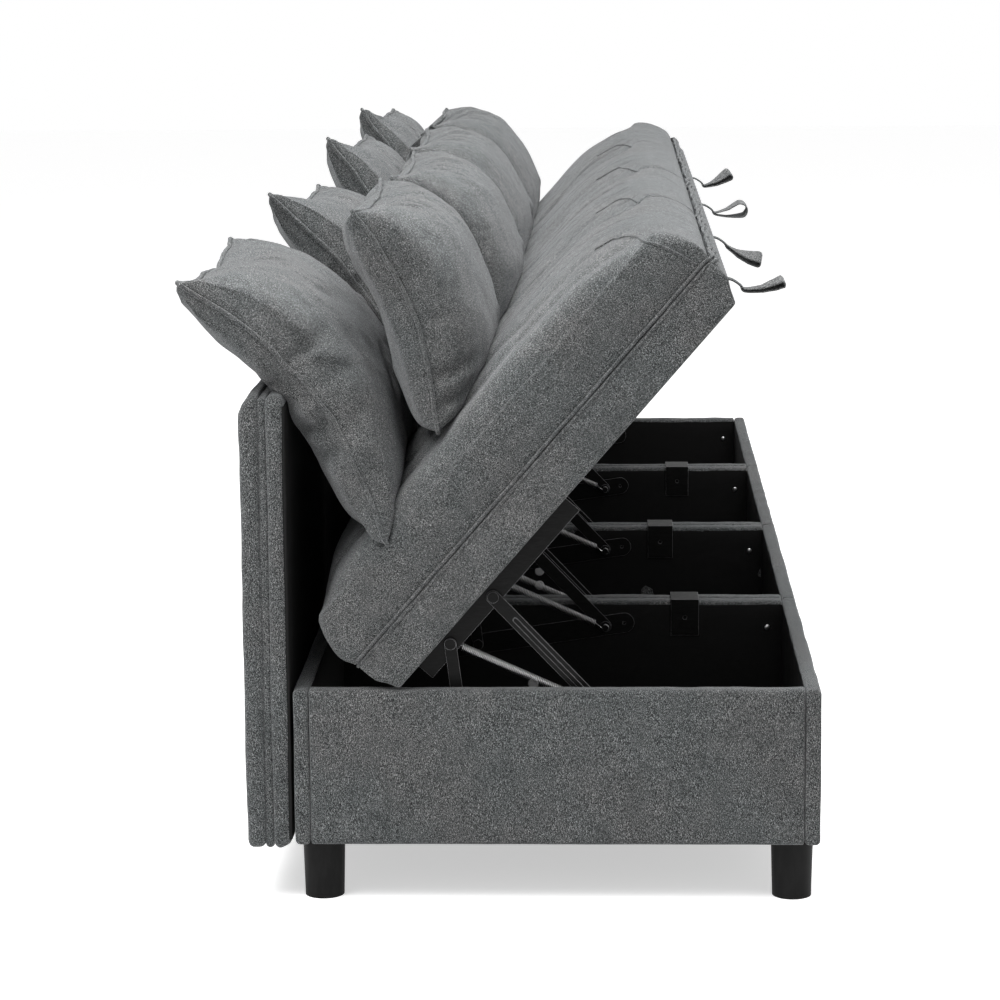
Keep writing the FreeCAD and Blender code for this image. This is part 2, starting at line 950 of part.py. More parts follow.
def front_arms(index):
    """Long arms with a pressed rib, turning on the front pins."""
    length = measured(front_arm_length)
    bore = dims.pin_diameter / 2 + dims.pin_clearance
    x = layer_x(index, arm_layer + dims.steel)
    zero = dims.steel * 0
    arm = plate_body(
        f"front_arm_{index}",
        front_pivot,
        front_arm_bearing,
        x,
        zero,
        length,
        dims.arm_width / 2,
        dims.steel,
        [(zero, bore), (length, bore)],
    )
    rib = plate_body(
        f"front_arm_rib_{index}",
        front_pivot,
        front_arm_bearing,
        layer_x(index, arm_layer),
        dims.rib_setback,
        length - dims.rib_setback * 2,
        dims.rib_width / 2,
        dims.rib_height,
        [],
    )
    whole = join(f"front_arm_whole_{index}", [arm, rib])
    both_sides("front_arm", whole, index, f"front_arms_{index}")


def rear_arms(index):
    """Short arms turning on the rear pins. Their upper rivets are split at the face of the rail."""
    length = measured(rear_arm_length)
    zero = dims.steel * 0
    arm = plate_body(
        f"rear_arm_{index}",
        rear_pivot,
        rear_arm_bearing,
        layer_x(index, arm_layer + dims.steel),
        zero,
        length,
        dims.rear_arm_width / 2,
        dims.steel,
        [(zero, dims.pin_diameter / 2 + dims.pin_clearance)],
    )
    head = pin(
        "rear_rivet",
        index,
        open_rear,
        arm_layer - dims.rivet_head,
        dims.rivet_head,
        dims.pin_head_diameter / 2,
    )
    both_sides("rear_arm", join(f"rear_arm_whole_{index}", [arm, head]), index, f"rear_arms_{index}")


def lid_rails(index):
    """Steel angles under the seat that carry it on the arms."""
    flange = dims.rail_flange
    wall = dims.steel
    zero = wall * 0
    foot = rail_layer + dims.rail_foot
    body = new_body(f"rail_{index}")
    profile = sketch_on(body, "YZ_Plane", f"rail_profile_{index}")
    polygon(
        profile,
        [
            (zero, zero),
            (wall, zero),
            (wall, flange - wall),
            (dims.rail_foot, flange - wall),
            (dims.rail_foot, flange),
            (zero, flange),
        ],
    )
    pad(body, profile, dims.rail_end - dims.rail_start)
    corner = on_lid(dims.rail_start, -flange)
    frame = at(layer_x(index, rail_layer), corner[0], corner[1], OPEN_TILT)
    inward = Vector(1, 0, 0)
    run = frame.Rotation.multVec(Vector(1, 0, 0))
    rise = frame.Rotation.multVec(Vector(0, 1, 0))
    body.Placement = Placement(frame.Base, Rotation(run, inward, rise, "XYZ"))
    shank = pin(
        "rail_rivet",
        index,
        open_front,
        arm_layer - dims.head_gap,
        rail_layer - arm_layer + dims.head_gap,
        dims.pin_diameter / 2,
    )
    head = pin(
        "rail_rivet_head",
        index,
        open_front,
        arm_layer - dims.head_gap - dims.rivet_head,
        dims.rivet_head,
        dims.pin_head_diameter / 2,
    )
    inner = pin(
        "rail_rear_rivet",
        index,
        open_rear,
        rail_layer + wall,
        dims.pin_head,
        dims.pin_head_diameter / 2,
    )
    whole = [body, shank, head, inner, *spring_post("rail_post", index, open_rear, rail_layer + wall)]
    both_sides("rail", join(f"rail_whole_{index}", whole), index, f"lid_rails_{index}")


def spring_post(name, index, centre, start):
    """A capped post that carries a spring's eye, on the inner face of the mechanism."""
    end = spring_layer + dims.wire_diameter
    radius = dims.spring_post_diameter / 2
    return [
        pin(name, index, centre, start, end - start, radius),
        pin(f"{name}_cap", index, centre, end, dims.wire_diameter, radius + dims.wire_diameter),
    ]


def half_turns(start, radius, pitch):
    """Centre points of a coil at each half turn, with the direction of the wire there."""
    rise = pitch / (2 * math.pi)
    points = []
    for half in range(2 * SPRING_TURNS + 1):
        angle = half * math.pi
        points.append(
            (
                Vector(start + rise * angle, radius * math.cos(angle), radius * math.sin(angle)),
                Vector(rise, -radius * math.sin(angle), radius * math.cos(angle)).normalize(),
            )
        )
    return points


def arc_between(start, corner, end):
    """The round arc that touches the two lines from a corner to the start and to the end."""
    chord = (end - start).Length / 2
    lean = math.acos(min(1, chord / (corner - start).Length))
    middle = (start + end) * 0.5
    outward = (corner - middle).normalize()
    return Part.Arc(start, middle + outward * (chord * math.tan(lean / 2)), end).toShape()


def biarc(start, leaving, end, arriving):
    """Two arcs from one point to the next that keep the wire's direction at both."""
    span = end - start
    both = leaving + arriving
    bend = 2 * (1 - leaving.dot(arriving))
    reach = (math.sqrt(span.dot(both) ** 2 + bend * span.dot(span)) - span.dot(both)) / bend
    corner_a = start + leaving * reach
    corner_b = end - arriving * reach
    joint = (corner_a + corner_b) * 0.5
    return [arc_between(start, corner_a, joint), arc_between(joint, corner_b, end)]


def least_gap(edges, wire):
    """The least space between two turns of the wire, measured on points of its centre line."""
    points = []
    for edge in edges:
        points += edge.discretize(SPRING_SAMPLES)[1:]
    apart = int(len(points) / SPRING_TURNS / 2)
    least = min(
        (one - other).Length for i, one in enumerate(points) for other in points[i + apart :]
    )
    return least - wire


def wire_section(centre, axis, across, wire):
    """A faceted section across the wire, which keeps the many turns light."""
    side = axis.cross(across).normalize()
    turns = [Rotation(axis, 360 * step / WIRE_FACETS) for step in range(WIRE_FACETS + 1)]
    return Part.makePolygon([centre + turn.multVec(side) * (wire / 2) for turn in turns])


def hooked_eye(centre, first_angle, radius, wire):
    """An open ring of the same wire round a post."""
    across = Vector(0, 0, 1)
    sweep = math.radians(first_angle), math.radians(first_angle + EYE_SWEEP)
    ring = Part.Circle(centre, across, radius).toShape(*sweep)
    start = ring.valueAt(ring.FirstParameter)
    section = wire_section(start, ring.tangentAt(ring.FirstParameter), across, wire)
    return Part.Wire([ring]).makePipeShell([section], True, False)


def wound_wire(length, radius, wire):
    """One unbroken tube wound round the X axis, with straight ends one wire diameter long."""
    hook = dims.hook_length.value
    stations = half_turns(hook, radius, (length - 2 * hook) / SPRING_TURNS)
    turns = []
    for (start, leaving), (end, arriving) in zip(stations, stations[1:]):
        turns += biarc(start, leaving, end, arriving)
    first, leaving = stations[0]
    last, arriving = stations[-1]
    edges = [Part.LineSegment(first - leaving * wire, first).toShape(), *turns]
    edges.append(Part.LineSegment(last, last + arriving * wire).toShape())
    section = wire_section(first - leaving * wire, leaving, Vector(1, 0, 0), wire)
    tube = Part.Wire(edges).makePipeShell([section], True, False)
    print("least gap between spring turns", round(least_gap(turns, wire), 2))
    return tube


def springs(index):
    """Tension springs from the front pins to the rear rivets, with a hooked eye at each end."""
    run = minus(open_rear, front_pivot)
    length = math.hypot(*run)
    frame = at(layer_x(index, spring_layer), front_pivot[0], front_pivot[1], bearing(run))
    wire = dims.wire_diameter.value
    radius = (dims.spring_post_diameter / 2 + dims.eye_clearance + dims.wire_diameter / 2).value
    neck = dims.hook_length.value + wire / 2
    pieces = [wound_wire(length, radius, wire)]
    for place_x, way, first_angle in ((0, 1, 90), (length, -1, 90 - EYE_SWEEP)):
        pieces.append(hooked_eye(Vector(place_x, 0, 0), first_angle, radius, wire))
        pieces.append(Part.makeCylinder(wire / 2, neck, Vector(place_x, radius, 0), Vector(way, 0, 0)))
    spring = pieces[0].fuse(pieces[1:])
    both_sides("spring", solid(f"spring_{index}", spring, frame), index, f"springs_{index}")


# Seat lids

def lid_frame(index, along=0, above=0, x=None):
    corner = on_lid(along, above)
    middle = module_x(index) if x is None else x
    return at(middle, corner[0], corner[1], OPEN_TILT)


def seat_frame(index):
    """A timber ring on a plywood sheet, open under the cushion."""
    shell = doc.addObject("Part::Box", f"seat_ring_{index}")
    bind(shell, "Length", seat_length)
    bind(shell, "Width", dims.frame_height)
    bind(shell, "Height", dims.module_width)
    soft = rounded(
        f"seat_ring_soft_{index}",
        shell,
        dims.frame_round,
        lambda middle, run: abs(middle.y) < Part.Precision.confusion(),
    )
    well = doc.addObject("Part::Box", f"seat_well_{index}")
    bind(well, "Length", seat_length - dims.frame_rail * 2)
    bind(well, "Width", dims.frame_height)
    bind(well, "Height", dims.module_width - dims.frame_rail * 2)
    place(well, dims.frame_rail, dims.frame_ply, dims.frame_rail)
    made = cut(f"seat_frame_{index}", soft, well)
    made.Placement = lid_frame(index, x=module_x(index) + half_width)
    keep(made, f"seat_frame_{index}")


def tab_wire(root_radius, loop_radius, reach):
    """The outline round a small circle at the root and a larger one at the tip of the loop."""
    lean = math.asin((loop_radius - root_radius) / reach)
    tip = Vector(reach, 0, 0)

    def rim(centre, radius, angle):
        return centre + Vector(math.cos(angle), math.sin(angle), 0) * radius

    above = math.pi / 2 + lean
    root = Vector(0, 0, 0)
    root_over, root_under = rim(root, root_radius, above), rim(root, root_radius, -above)
    tip_over, tip_under = rim(tip, loop_radius, above), rim(tip, loop_radius, -above)
    return Part.Wire(
        [
            Part.LineSegment(root_over, tip_over).toShape(),
            Part.Arc(tip_over, rim(tip, loop_radius, 0), tip_under).toShape(),
            Part.LineSegment(tip_under, root_under).toShape(),
            Part.Arc(root_under, rim(root, root_radius, math.pi), root_over).toShape(),
        ]
    )


def pull_tab(index):
    """A webbing loop whose tail is stapled under the front of the seat frame."""
    droop = TAB_DROOPS[index - 1] - OPEN_TILT
    strap = dims.strap_thickness.value
    loop_radius = (dims.tab_reach * (TAB_LOOP_SHARES[index - 1] / 2)).value
    root_radius = dims.tab_root_radius.value
    reach = (dims.tab_reach - loop_radius).value
    width = dims.strap_width.value
    across = Vector(0, 0, width)
    outer = Part.Face(tab_wire(root_radius, loop_radius, reach)).extrude(across)
    inner = Part.Face(tab_wire(root_radius - strap, loop_radius - strap, reach)).extrude(across)
    loop = outer.cut(inner)
    loop.Placement = Placement(
        Vector(root_radius + strap, -strap, -width / 2), Rotation(Vector(0, 0, 1), droop)
    )
    tail_length = dims.tab_tail.value
    tail = Part.makeBox(
        tail_length + root_radius, strap * 2, width, Vector(-tail_length, -strap * 2, -width / 2)
    )
    shape = loop.fuse(tail).removeSplitter()
    keep(solid(f"pull_tab_{index}", shape, lid_frame(index, seat_length)), f"pull_tab_{index}")


# Loose cushions

def loose_frame(index, loose):
    """A loose piece's own frame: its X points forward and its Y runs up its height."""
    foot = on_lid(*loose.foot)
    return at(module_x(index), foot[0], foot[1], loose.lean)


def back_clearance_block(index):
    """The back panel grown by the soft clearance, which presses a hollow into the cushion."""
    grow = dims.soft_clearance.value
    rear = number(box_rear - dims.back_gap) + grow
    depth = number(dims.back_front_pad + dims.back_piping + dims.back_rear_pad) + 2 * grow
    top = number(dims.leg_height + dims.back_height) + grow
    width = dims.module_width.value + 2 * grow
    low = panel_top.value
    block = Part.makeBox(
        width,
        depth,
        top - low,
        Vector(number(module_x(index)) - width / 2, number(along_y(rear)), low),
    )
    return block


def back_cushion(index):
    loose = back_cushions[index - 1]
    back = loose.shape.copy()
    back.Placement = loose_frame(index, loose)
    back = back.cut(back_clearance_block(index))
    keep(solid(f"back_cushion_{index}", back), f"back_cushion_{index}")


def throw_pillow(index):
    loose = throw_pillows[index - 1]
    frame = loose_frame(index, loose)
    keep(solid(f"throw_pillow_{index}", loose.shape.copy(), frame), f"throw_pillow_{index}")


# Build the row

legs()
connector_clips()
lift_plates()
back_brackets()
for module in range(1, MODULES + 1):
    side_panels(module)
    end_panel(module, "front_panel", box_front)
    end_panel(module, "rear_panel", box_rear + dims.end_thickness)
    bottom_board(module)
    back_panel(module)
    front_arms(module)
    rear_arms(module)
    lid_rails(module)
    springs(module)
    seat_frame(module)
    keep(solid(f"seat_cushion_{module}", seat_master.copy(), lid_frame(module)), f"seat_cushion_{module}")
    pull_tab(module)
    back_cushion(module)
    throw_pillow(module)
doc.recompute()

# Nothing is written unless every object and every shape is sound.
for obj in doc.Objects:
    bad = {"Invalid", "Error"} & set(obj.State)
    if bad:
        raise RuntimeError(f"{obj.Label} is {bad}")
for node, obj in parts.items():
    if obj.Shape.isNull() or not obj.Shape.isValid():
        raise RuntimeError(f"{node} has no sound shape")

os.makedirs("parts", exist_ok=True)
for node, obj in parts.items():
    obj.Shape.exportStep(f"parts/{node}.step")

whole = Part.makeCompound([obj.Shape for obj in parts.values()]).BoundBox
print("nodes", len(parts))
print("size", round(whole.XLength, 1), round(whole.YLength, 1), round(whole.ZLength, 1))
print("middle", round(whole.Center.x, 2), round(whole.Center.y, 2), "bottom", round(whole.ZMin, 2))
print("open corner", [round(value, 2) for value in open_corner], "shift", round(origin_shift, 2))
print("arm turns", round(front_arm_turn, 3), round(rear_arm_turn, 3))


def world(point):
    """Y and Z of a place in the side plane."""
    return [round(number(along_y(point[0])), 3), round(point[1], 3)]


for name, point in (
    ("front pivot", front_pivot),
    ("rear pivot", rear_pivot),
    ("lid front rivet", open_front),
    ("lid rear rivet", open_rear),
):
    print(name, world(point))
shut_rear = plus(shut_corner, rail_rear)
shut_spring = bearing(minus(shut_rear, front_pivot)) - bearing(minus(open_rear, front_pivot))
print("spring turn", round(shut_spring, 3))
for kind, pieces in (("cushion", back_cushions), ("pillow", throw_pillows)):
    for index, loose in enumerate(pieces, start=1):
        centre, turn = loose.turn_to_shut()
        print(kind, index, "pivot", world(on_lid(*centre)), "turn", round(turn, 3))
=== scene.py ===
import math

import bmesh
import bpy
import numpy as np
from mathutils import Matrix, Vector
from mathutils.bvhtree import BVHTree


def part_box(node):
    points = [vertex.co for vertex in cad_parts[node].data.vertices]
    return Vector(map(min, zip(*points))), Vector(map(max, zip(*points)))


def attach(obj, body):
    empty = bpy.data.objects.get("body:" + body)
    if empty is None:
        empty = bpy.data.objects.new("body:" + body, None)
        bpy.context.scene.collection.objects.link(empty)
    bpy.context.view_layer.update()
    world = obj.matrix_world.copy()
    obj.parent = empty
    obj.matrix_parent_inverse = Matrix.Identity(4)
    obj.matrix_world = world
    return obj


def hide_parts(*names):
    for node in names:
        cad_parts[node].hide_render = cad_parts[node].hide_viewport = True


# A row of four armless storage sofa seats with every lid open, dressed in grey chenille.
# Lengths are in metres. The row runs along X, the seats face -Y, and Z is up.

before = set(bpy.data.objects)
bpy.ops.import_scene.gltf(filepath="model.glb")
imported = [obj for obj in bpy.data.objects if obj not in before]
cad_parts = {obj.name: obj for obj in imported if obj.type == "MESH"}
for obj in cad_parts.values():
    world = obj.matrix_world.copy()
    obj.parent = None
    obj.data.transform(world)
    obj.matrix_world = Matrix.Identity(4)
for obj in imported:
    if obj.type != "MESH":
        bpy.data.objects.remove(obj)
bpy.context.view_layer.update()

MODULES = (1, 2, 3, 4)

# The open lid: its tilt, and the y and z of its lower rear corner
LID_TILT = math.radians(49.1)
LID_CORNER = (0.13398, 0.28691)


# Small geometry helpers


def middle(node):
    low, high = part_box(node)
    return (low + high) / 2


def placed(ways, origin):
    """A matrix whose x, y and z axes run along the three ways, set at the origin."""
    m = Matrix.Identity(4)
    for column, way in enumerate(ways):
        for row in range(3):
            m[row][column] = way[row]
    m.translation = origin
    return m


def swell(points, size, seed):
    """Smooth noise at each point, mostly from -1 to 1: three octaves of slanted waves, the widest
    about as long as the size."""
    rng = np.random.default_rng(seed)
    total = np.zeros(len(points))
    weight = 0
    for octave in range(3):
        for _ in range(5):
            way = rng.normal(size=3)
            way /= np.linalg.norm(way)
            phase = rng.uniform(0, 2 * math.pi)
            strength = 0.6**octave
            total += strength * np.sin(points @ way * (2 * math.pi / size) * 1.9**octave + phase)
            weight += strength
    return total / weight * 2.2


def smooth_step(values, low, high):
    """Zero below low and one above high, with an even S-curve between."""
    share = np.clip((values - low) / (high - low), 0, 1)
    return share * share * (3 - 2 * share)


def new_object(name, points, faces, material=None, matrix=None):
    """A smooth-shaded mesh object whose faces all look outward."""
    mesh = bpy.data.meshes.new(name)
    mesh.from_pydata([tuple(p) for p in points], [], [tuple(int(i) for i in f) for f in faces])
    if material is not None:
        mesh.materials.append(material)
    mesh.polygons.foreach_set("use_smooth", [True] * len(mesh.polygons))
    mesh.validate()
    outward = bmesh.new()
    outward.from_mesh(mesh)
    bmesh.ops.recalc_face_normals(outward, faces=outward.faces[:])
    outward.to_mesh(mesh)
    outward.free()
    mesh.update()
    obj = bpy.data.objects.new(name, mesh)
    bpy.context.scene.collection.objects.link(obj)
    if matrix is not None:
        obj.matrix_world = matrix
    return obj


def quads(rows, columns, start=0, around=False):
    """Faces of a grid of points stored row by row; around closes each row on itself."""
    faces = []
    for r in range(rows - 1):
        near, far = start + r * columns, start + (r + 1) * columns
        for c in range(columns if around else columns - 1):
            d = (c + 1) % columns
            faces.append((near + c, near + d, far + d, far + c))
    return faces


def capped(rows, columns):
    """Faces of a tube of rows, closed by a cap at both ends."""
    faces = quads(rows, columns, around=True)
    count = rows * columns
    faces.append(tuple(range(columns))[::-1])
    faces.append(tuple(range(count - columns, count)))
    return faces


def merged(parts):
    """Several (points, faces) as one."""
    points, faces, count = [], [], 0
    for p, f in parts:
        points.append(np.asarray(p, float))
        faces += [tuple(i + count for i in face) for face in f]
        count += len(p)
    return np.vstack(points), faces


def ladder(low, high, edge, cell):
    """Grid lines from low to high, closer together in the rounded stretch at each end."""
    inner = max(2, int(round((high - low - 2 * edge) / cell)) + 1)
    turns = np.linspace(0, math.pi / 2, 5)
    near = [low + edge * (1 - math.cos(a)) for a in turns]
    far = [high - edge * (1 - math.cos(a)) for a in turns[::-1]]
    return np.array(near[:-1] + list(np.linspace(low + edge, high - edge, inner)) + far[1:])


def slab(low, high, radii, cell):
    """A box with rounded edges as (points, faces); radii are along x, y and z."""
    low, high, radii = (np.array(v, float) for v in (low, high, radii))
    radii = np.minimum(radii, (high - low) / 2 * 0.999)
    lines = [ladder(low[i], high[i], radii[i], cell) for i in range(3)]
    parts = []
    for axis in range(3):
        a, b = [i for i in range(3) if i != axis]
        for side, level in ((0, low[axis]), (1, high[axis])):
            grid_a, grid_b = np.meshgrid(lines[a], lines[b], indexing="ij")
            p = np.zeros((grid_a.size, 3))
            p[:, a], p[:, b], p[:, axis] = grid_a.ravel(), grid_b.ravel(), level
            faces = quads(len(lines[a]), len(lines[b]))
            flip = (side == 1) == (axis == 1)
            parts.append((p, [f[::-1] for f in faces] if flip else faces))
    points, faces = merged(parts)
    core = np.clip(points, low + radii, high - radii)
    out = (points - core) / radii
    length = np.linalg.norm(out, axis=1)
    length[length == 0] = 1
    points = core + radii * out / length[:, None]
    return weld(points, faces)


def weld(points, faces, step=1e-6):
    """Joins points that share a place."""
    keys = np.round(points / step).astype(np.int64)
    _, first, back = np.unique(keys, axis=0, return_index=True, return_inverse=True)
    back = back.ravel()
    kept = []
    for face in faces:
        ring = [int(back[i]) for i in face]
        ring = [v for i, v in enumerate(ring) if v != ring[i - 1]]
        if len(ring) >= 3:
            kept.append(tuple(ring))
    return points[first], kept


def unit(ways):
    return ways / np.linalg.norm(ways, axis=1)[:, None]


def tube(path, radius, sides=8, closed=False):
    """A round tube along a path as (points, faces)."""
    path = np.asarray(path, float)
    if closed:
        ways = np.roll(path, -1, axis=0) - np.roll(path, 1, axis=0)
    else:
        ways = np.gradient(path, axis=0)
    ways = unit(ways)
    across = np.cross(ways[0], (0.3, 0.5, 0.81))
    across /= np.linalg.norm(across)
    angles = np.linspace(0, 2 * math.pi, sides, endpoint=False)
    rings = []
    for point, way in zip(path, ways):
        across = across - way * (across @ way)
        across /= np.linalg.norm(across)
        other = np.cross(way, across)
        rings.append(point + radius * (np.cos(angles)[:, None] * across + np.sin(angles)[:, None] * other))
    points = np.vstack(rings)
    if not closed:
        return points, capped(len(path), sides)
    faces = quads(len(path), sides, around=True)
    last = (len(path) - 1) * sides
    turn = int(np.argmin([np.linalg.norm(points[last] - points[i]) for i in range(sides)]))
    for c in range(sides):
        d = (c + 1) % sides
        faces.append((last + c, last + d, (d + turn) % sides, (c + turn) % sides))
    return points, faces


def spline(points, steps):
    """A smooth open curve through the points."""
    points = np.asarray(points, float)
    padded = np.vstack([2 * points[0] - points[1], points, 2 * points[-1] - points[-2]])
    out = []
    for i in range(1, len(padded) - 2):
        a, b, c, d = padded[i - 1 : i + 3]
        once, twice, thrice = c - a, 2 * a - 5 * b + 4 * c - d, 3 * b - 3 * c + d - a
        for t in np.linspace(0, 1, steps, endpoint=False):
            out.append(0.5 * (2 * b + once * t + twice * t * t + thrice * t**3))
    out.append(padded[-2])
    return np.array(out)


def lengths_along(path):
    """How far along an open path each of its points is."""
    return np.concatenate([[0], np.cumsum(np.linalg.norm(np.diff(path, axis=0), axis=1))])


def level_steps(path, step):
    """The same open path with points an even step apart."""
    lengths = lengths_along(path)
    count = max(2, int(round(lengths[-1] / step)) + 1)
    places = np.linspace(0, lengths[-1], count)
    return np.column_stack([np.interp(places, lengths, path[:, i]) for i in range(path.shape[1])])


# Materials


class Nodes:
    """A small helper that adds shader nodes and links them."""

    def __init__(self, name):
        self.material = bpy.data.materials.new(name)
        self.material.use_nodes = True
        self.tree = self.material.node_tree
        self.shader = self.tree.nodes["Principled BSDF"]

    def add(self, kind, inputs=None, **settings):
        node = self.tree.nodes.new(kind)
        for key, value in settings.items():
            setattr(node, key, value)
        for key, value in (inputs or {}).items():
            self.put(value, node.inputs[key])
        return node

    def put(self, value, socket):
        if isinstance(value, bpy.types.NodeSocket):
            self.tree.links.new(value, socket)
        else:
            socket.default_value = value

    def set(self, **inputs):
        for key, value in inputs.items():
            self.put(value, self.shader.inputs[key.replace("_", " ")])

    def scaled(self, scale):
        place = self.add("ShaderNodeTexCoord").outputs["Object"]
        return self.add("ShaderNodeMapping", {"Vector": place, "Scale": scale}).outputs["Vector"]

    def noise(self, scale, detail=2.0, rough=0.5, warp=0.0):
        """Noise in object coordinates; a scale of 1000 on an axis has grains about 1 mm long there."""
        inputs = {
            "Vector": self.scaled(scale),
            "Scale": 1.0,
            "Detail": detail,
            "Roughness": rough,
            "Distortion": warp,
        }
        return self.add("ShaderNodeTexNoise", inputs).outputs["Fac"]

    def maths(self, operation, a, b=0.0, c=0.0):
        return self.add("ShaderNodeMath", {0: a, 1: b, 2: c}, operation=operation).outputs[0]

    def ramp(self, value, stops):
        node = self.add("ShaderNodeValToRGB", {"Fac": value})
        ramp = node.color_ramp
        while len(ramp.elements) < len(stops):
            ramp.elements.new(0.5)
        for element, (place, colour) in zip(ramp.elements, stops):
            element.position = place
            element.color = (*colour, 1)
        return node.outputs["Color"]

    def mix(self, share, a, b, blend="MIX"):
        node = self.add("ShaderNodeMix", data_type="RGBA", blend_type=blend)
        self.put(share, node.inputs[0])
        self.put(a, node.inputs[6])
        self.put(b, node.inputs[7])
        return node.outputs[2]

    def bump(self, height, distance, strength=1.0, normal=None):
        inputs = {"Height": height, "Distance": distance, "Strength": strength}
        if normal is not None:
            inputs["Normal"] = normal
        return self.add("ShaderNodeBump", inputs).outputs["Normal"]


def grey(value, tint=0.0):
    """A grey; a tint above zero leans towards blue, and below zero towards brown."""
    return (value * (1 - tint), value * (1 + 0.15 * tint), value * (1 + 0.35 * tint))


def fabric(name, tone=1.0, ribs=(1, 1, 0.42)):
    """Chenille: short ribs of light and dark flecks over a blotchy nap. A rib is long on the axis
    where its number is below one."""
    n = Nodes(name)
    flecks = n.noise(tuple(1500 * r for r in ribs), detail=1.0, rough=0.6)
    grains = n.noise((1700, 1700, 1700), detail=0.0)
    mottle = n.noise(tuple(800 * r for r in ribs), detail=1.0, rough=0.6)
    nap = n.noise((34, 34, 34), detail=3.0, rough=0.6, warp=0.6)
    patches = n.noise((8, 8, 8), detail=2.0, rough=0.5)
    mixed = n.maths("ADD", n.maths("MULTIPLY", flecks, 0.55), n.maths("MULTIPLY", grains, 0.45))
    colour = n.ramp(
        mixed,
        (
            (0.37, grey(0.004 * tone, 0.03)),
            (0.45, grey(0.033 * tone, 0.02)),
            (0.53, grey(0.078 * tone, 0.01)),
            (0.61, grey(0.280 * tone, 0.0)),
        ),
    )
    shade = n.ramp(nap, ((0.34, grey(0.85, 0.02)), (0.50, grey(0.97, 0.01)), (0.66, grey(1.08, 0.0))))
    spots = n.ramp(mottle, ((0.34, grey(0.42, 0.03)), (0.50, grey(0.90, 0.01)), (0.66, grey(1.56))))
    tint = n.ramp(patches, ((0.38, grey(0.98, 0.025)), (0.62, grey(1.02, -0.01))))
    colour = n.mix(1.0, colour, shade, "MULTIPLY")
    colour = n.mix(1.0, colour, spots, "MULTIPLY")
    colour = n.mix(1.0, colour, tint, "MULTIPLY")
    fine = n.bump(mixed, 0.0010, 0.7)
    n.set(Normal=n.bump(nap, 0.0016, 0.25, fine))
    n.set(Base_Color=colour, Roughness=0.96, Specular_IOR_Level=0.10)
    n.set(Sheen_Weight=0.26, Sheen_Roughness=0.5, Sheen_Tint=(0.86, 0.88, 0.90, 1))
    return n.material


def lining():
    """Black non-woven cloth with a faint crumple."""
    n = Nodes("lining")
    speck = n.noise((900, 900, 900), detail=2.0)
    fold = n.noise((9, 9, 14), detail=4.0, rough=0.6, warp=1.2)
    colour = n.ramp(speck, ((0.35, grey(0.0022)), (0.65, grey(0.0062))))
    n.set(Normal=n.bump(fold, 0.004, 0.3, n.bump(speck, 0.0003, 0.5)))
    n.set(Base_Color=colour, Roughness=0.75, Specular_IOR_Level=0.2)
    return n.material


def steel():
    """Black powder-coated steel with a fine orange peel, and a painted highlight: a thin bright line
    painted into its colour along its edges.
    """
    n = Nodes("black_steel")
    peel = n.noise((1400, 1400, 1400), detail=1.0)
    scuff = n.noise((40, 40, 240), detail=5.0, rough=0.7, warp=1.0)
    face = n.add("ShaderNodeNewGeometry").outputs["Normal"]
    rounded = n.add("ShaderNodeBevel", {"Radius": 0.0011}, samples=4).outputs["Normal"]
    same = n.add("ShaderNodeVectorMath", {0: face, 1: rounded}, operation="DOT_PRODUCT").outputs["Value"]
    edge = n.maths("MULTIPLY", n.maths("SUBTRACT", 1.0, same), 4.0)
    coat = n.ramp(scuff, ((0.4, grey(0.0042)), (0.72, grey(0.0100))))
    # Painted highlight: the colour turns light grey where the bevel rounds each edge, standing in for light
    # caught on the thin edges
    painted_edge_highlight = n.add("ShaderNodeClamp", {"Value": edge}).outputs[0]
    n.set(Base_Color=n.mix(painted_edge_highlight, coat, (0.40, 0.40, 0.41, 1)))
    n.set(Roughness=n.maths("MULTIPLY_ADD", scuff, 0.25, 0.36), Specular_IOR_Level=0.10)
    n.set(Normal=n.bump(peel, 0.0002, 0.4, rounded))
    return n.material


def zinc():
    """Bright zinc-plated spring wire."""
    n = Nodes("spring_steel")
    stain = n.noise((260, 260, 260), detail=3.0, rough=0.6)
    n.set(Base_Color=n.ramp(stain, ((0.35, grey(0.42)), (0.65, grey(0.80)))))
    n.set(Metallic=1.0, Roughness=n.maths("MULTIPLY_ADD", stain, 0.3, 0.18))
    return n.material


def plastic():
    """Moulded black plastic with a fine grain."""
    n = Nodes("black_plastic")
    grain = n.noise((1800, 1800, 1800), detail=1.0)
    scuff = n.noise((60, 60, 18), detail=4.0, rough=0.65)
    n.set(Base_Color=n.ramp(scuff, ((0.4, grey(0.0085)), (0.75, grey(0.0150)))), Specular_IOR_Level=0.08)
    n.set(Roughness=n.maths("MULTIPLY_ADD", scuff, 0.25, 0.42), Normal=n.bump(grain, 0.0002, 0.45))
    return n.material


def paper():
    """A bare white sticker."""
    n = Nodes("sticker_paper")
    fibre = n.noise((1200, 1200, 1200), detail=3.0)
    n.set(Base_Color=n.ramp(fibre, ((0.3, grey(0.74)), (0.7, grey(0.88)))), Roughness=0.5)
    n.set(Normal=n.bump(fibre, 0.0001, 0.3))
    return n.material


CLOTH = fabric("upholstery")
CLOTH_LAID = fabric("upholstery_laid", ribs=(1, 0.24, 1))
TAPE = fabric("webbing", tone=1.1, ribs=(0.5, 1, 1))
LINING = lining()
STEEL = steel()
ZINC = zinc()
PLASTIC = plastic()
PAPER = paper()


def dress(node, material):
    """Gives a carried-over CAD piece its material."""
    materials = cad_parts[node].data.materials
    materials.clear()
    materials.append(material)


for k in MODULES:
    dress(f"bottom_board_{k}", LINING)
    for node in ("front_arms", "rear_arms", "lid_rails"):
        dress(f"{node}_{k}", STEEL)
dress("legs", PLASTIC)
for node in ("connector_clips", "lift_base_plates", "back_panel_brackets"):
    dress(node, STEEL)


# Boxes

# How far the cover folds over a panel's top edge before the lining starts
WRAP = 0.0058
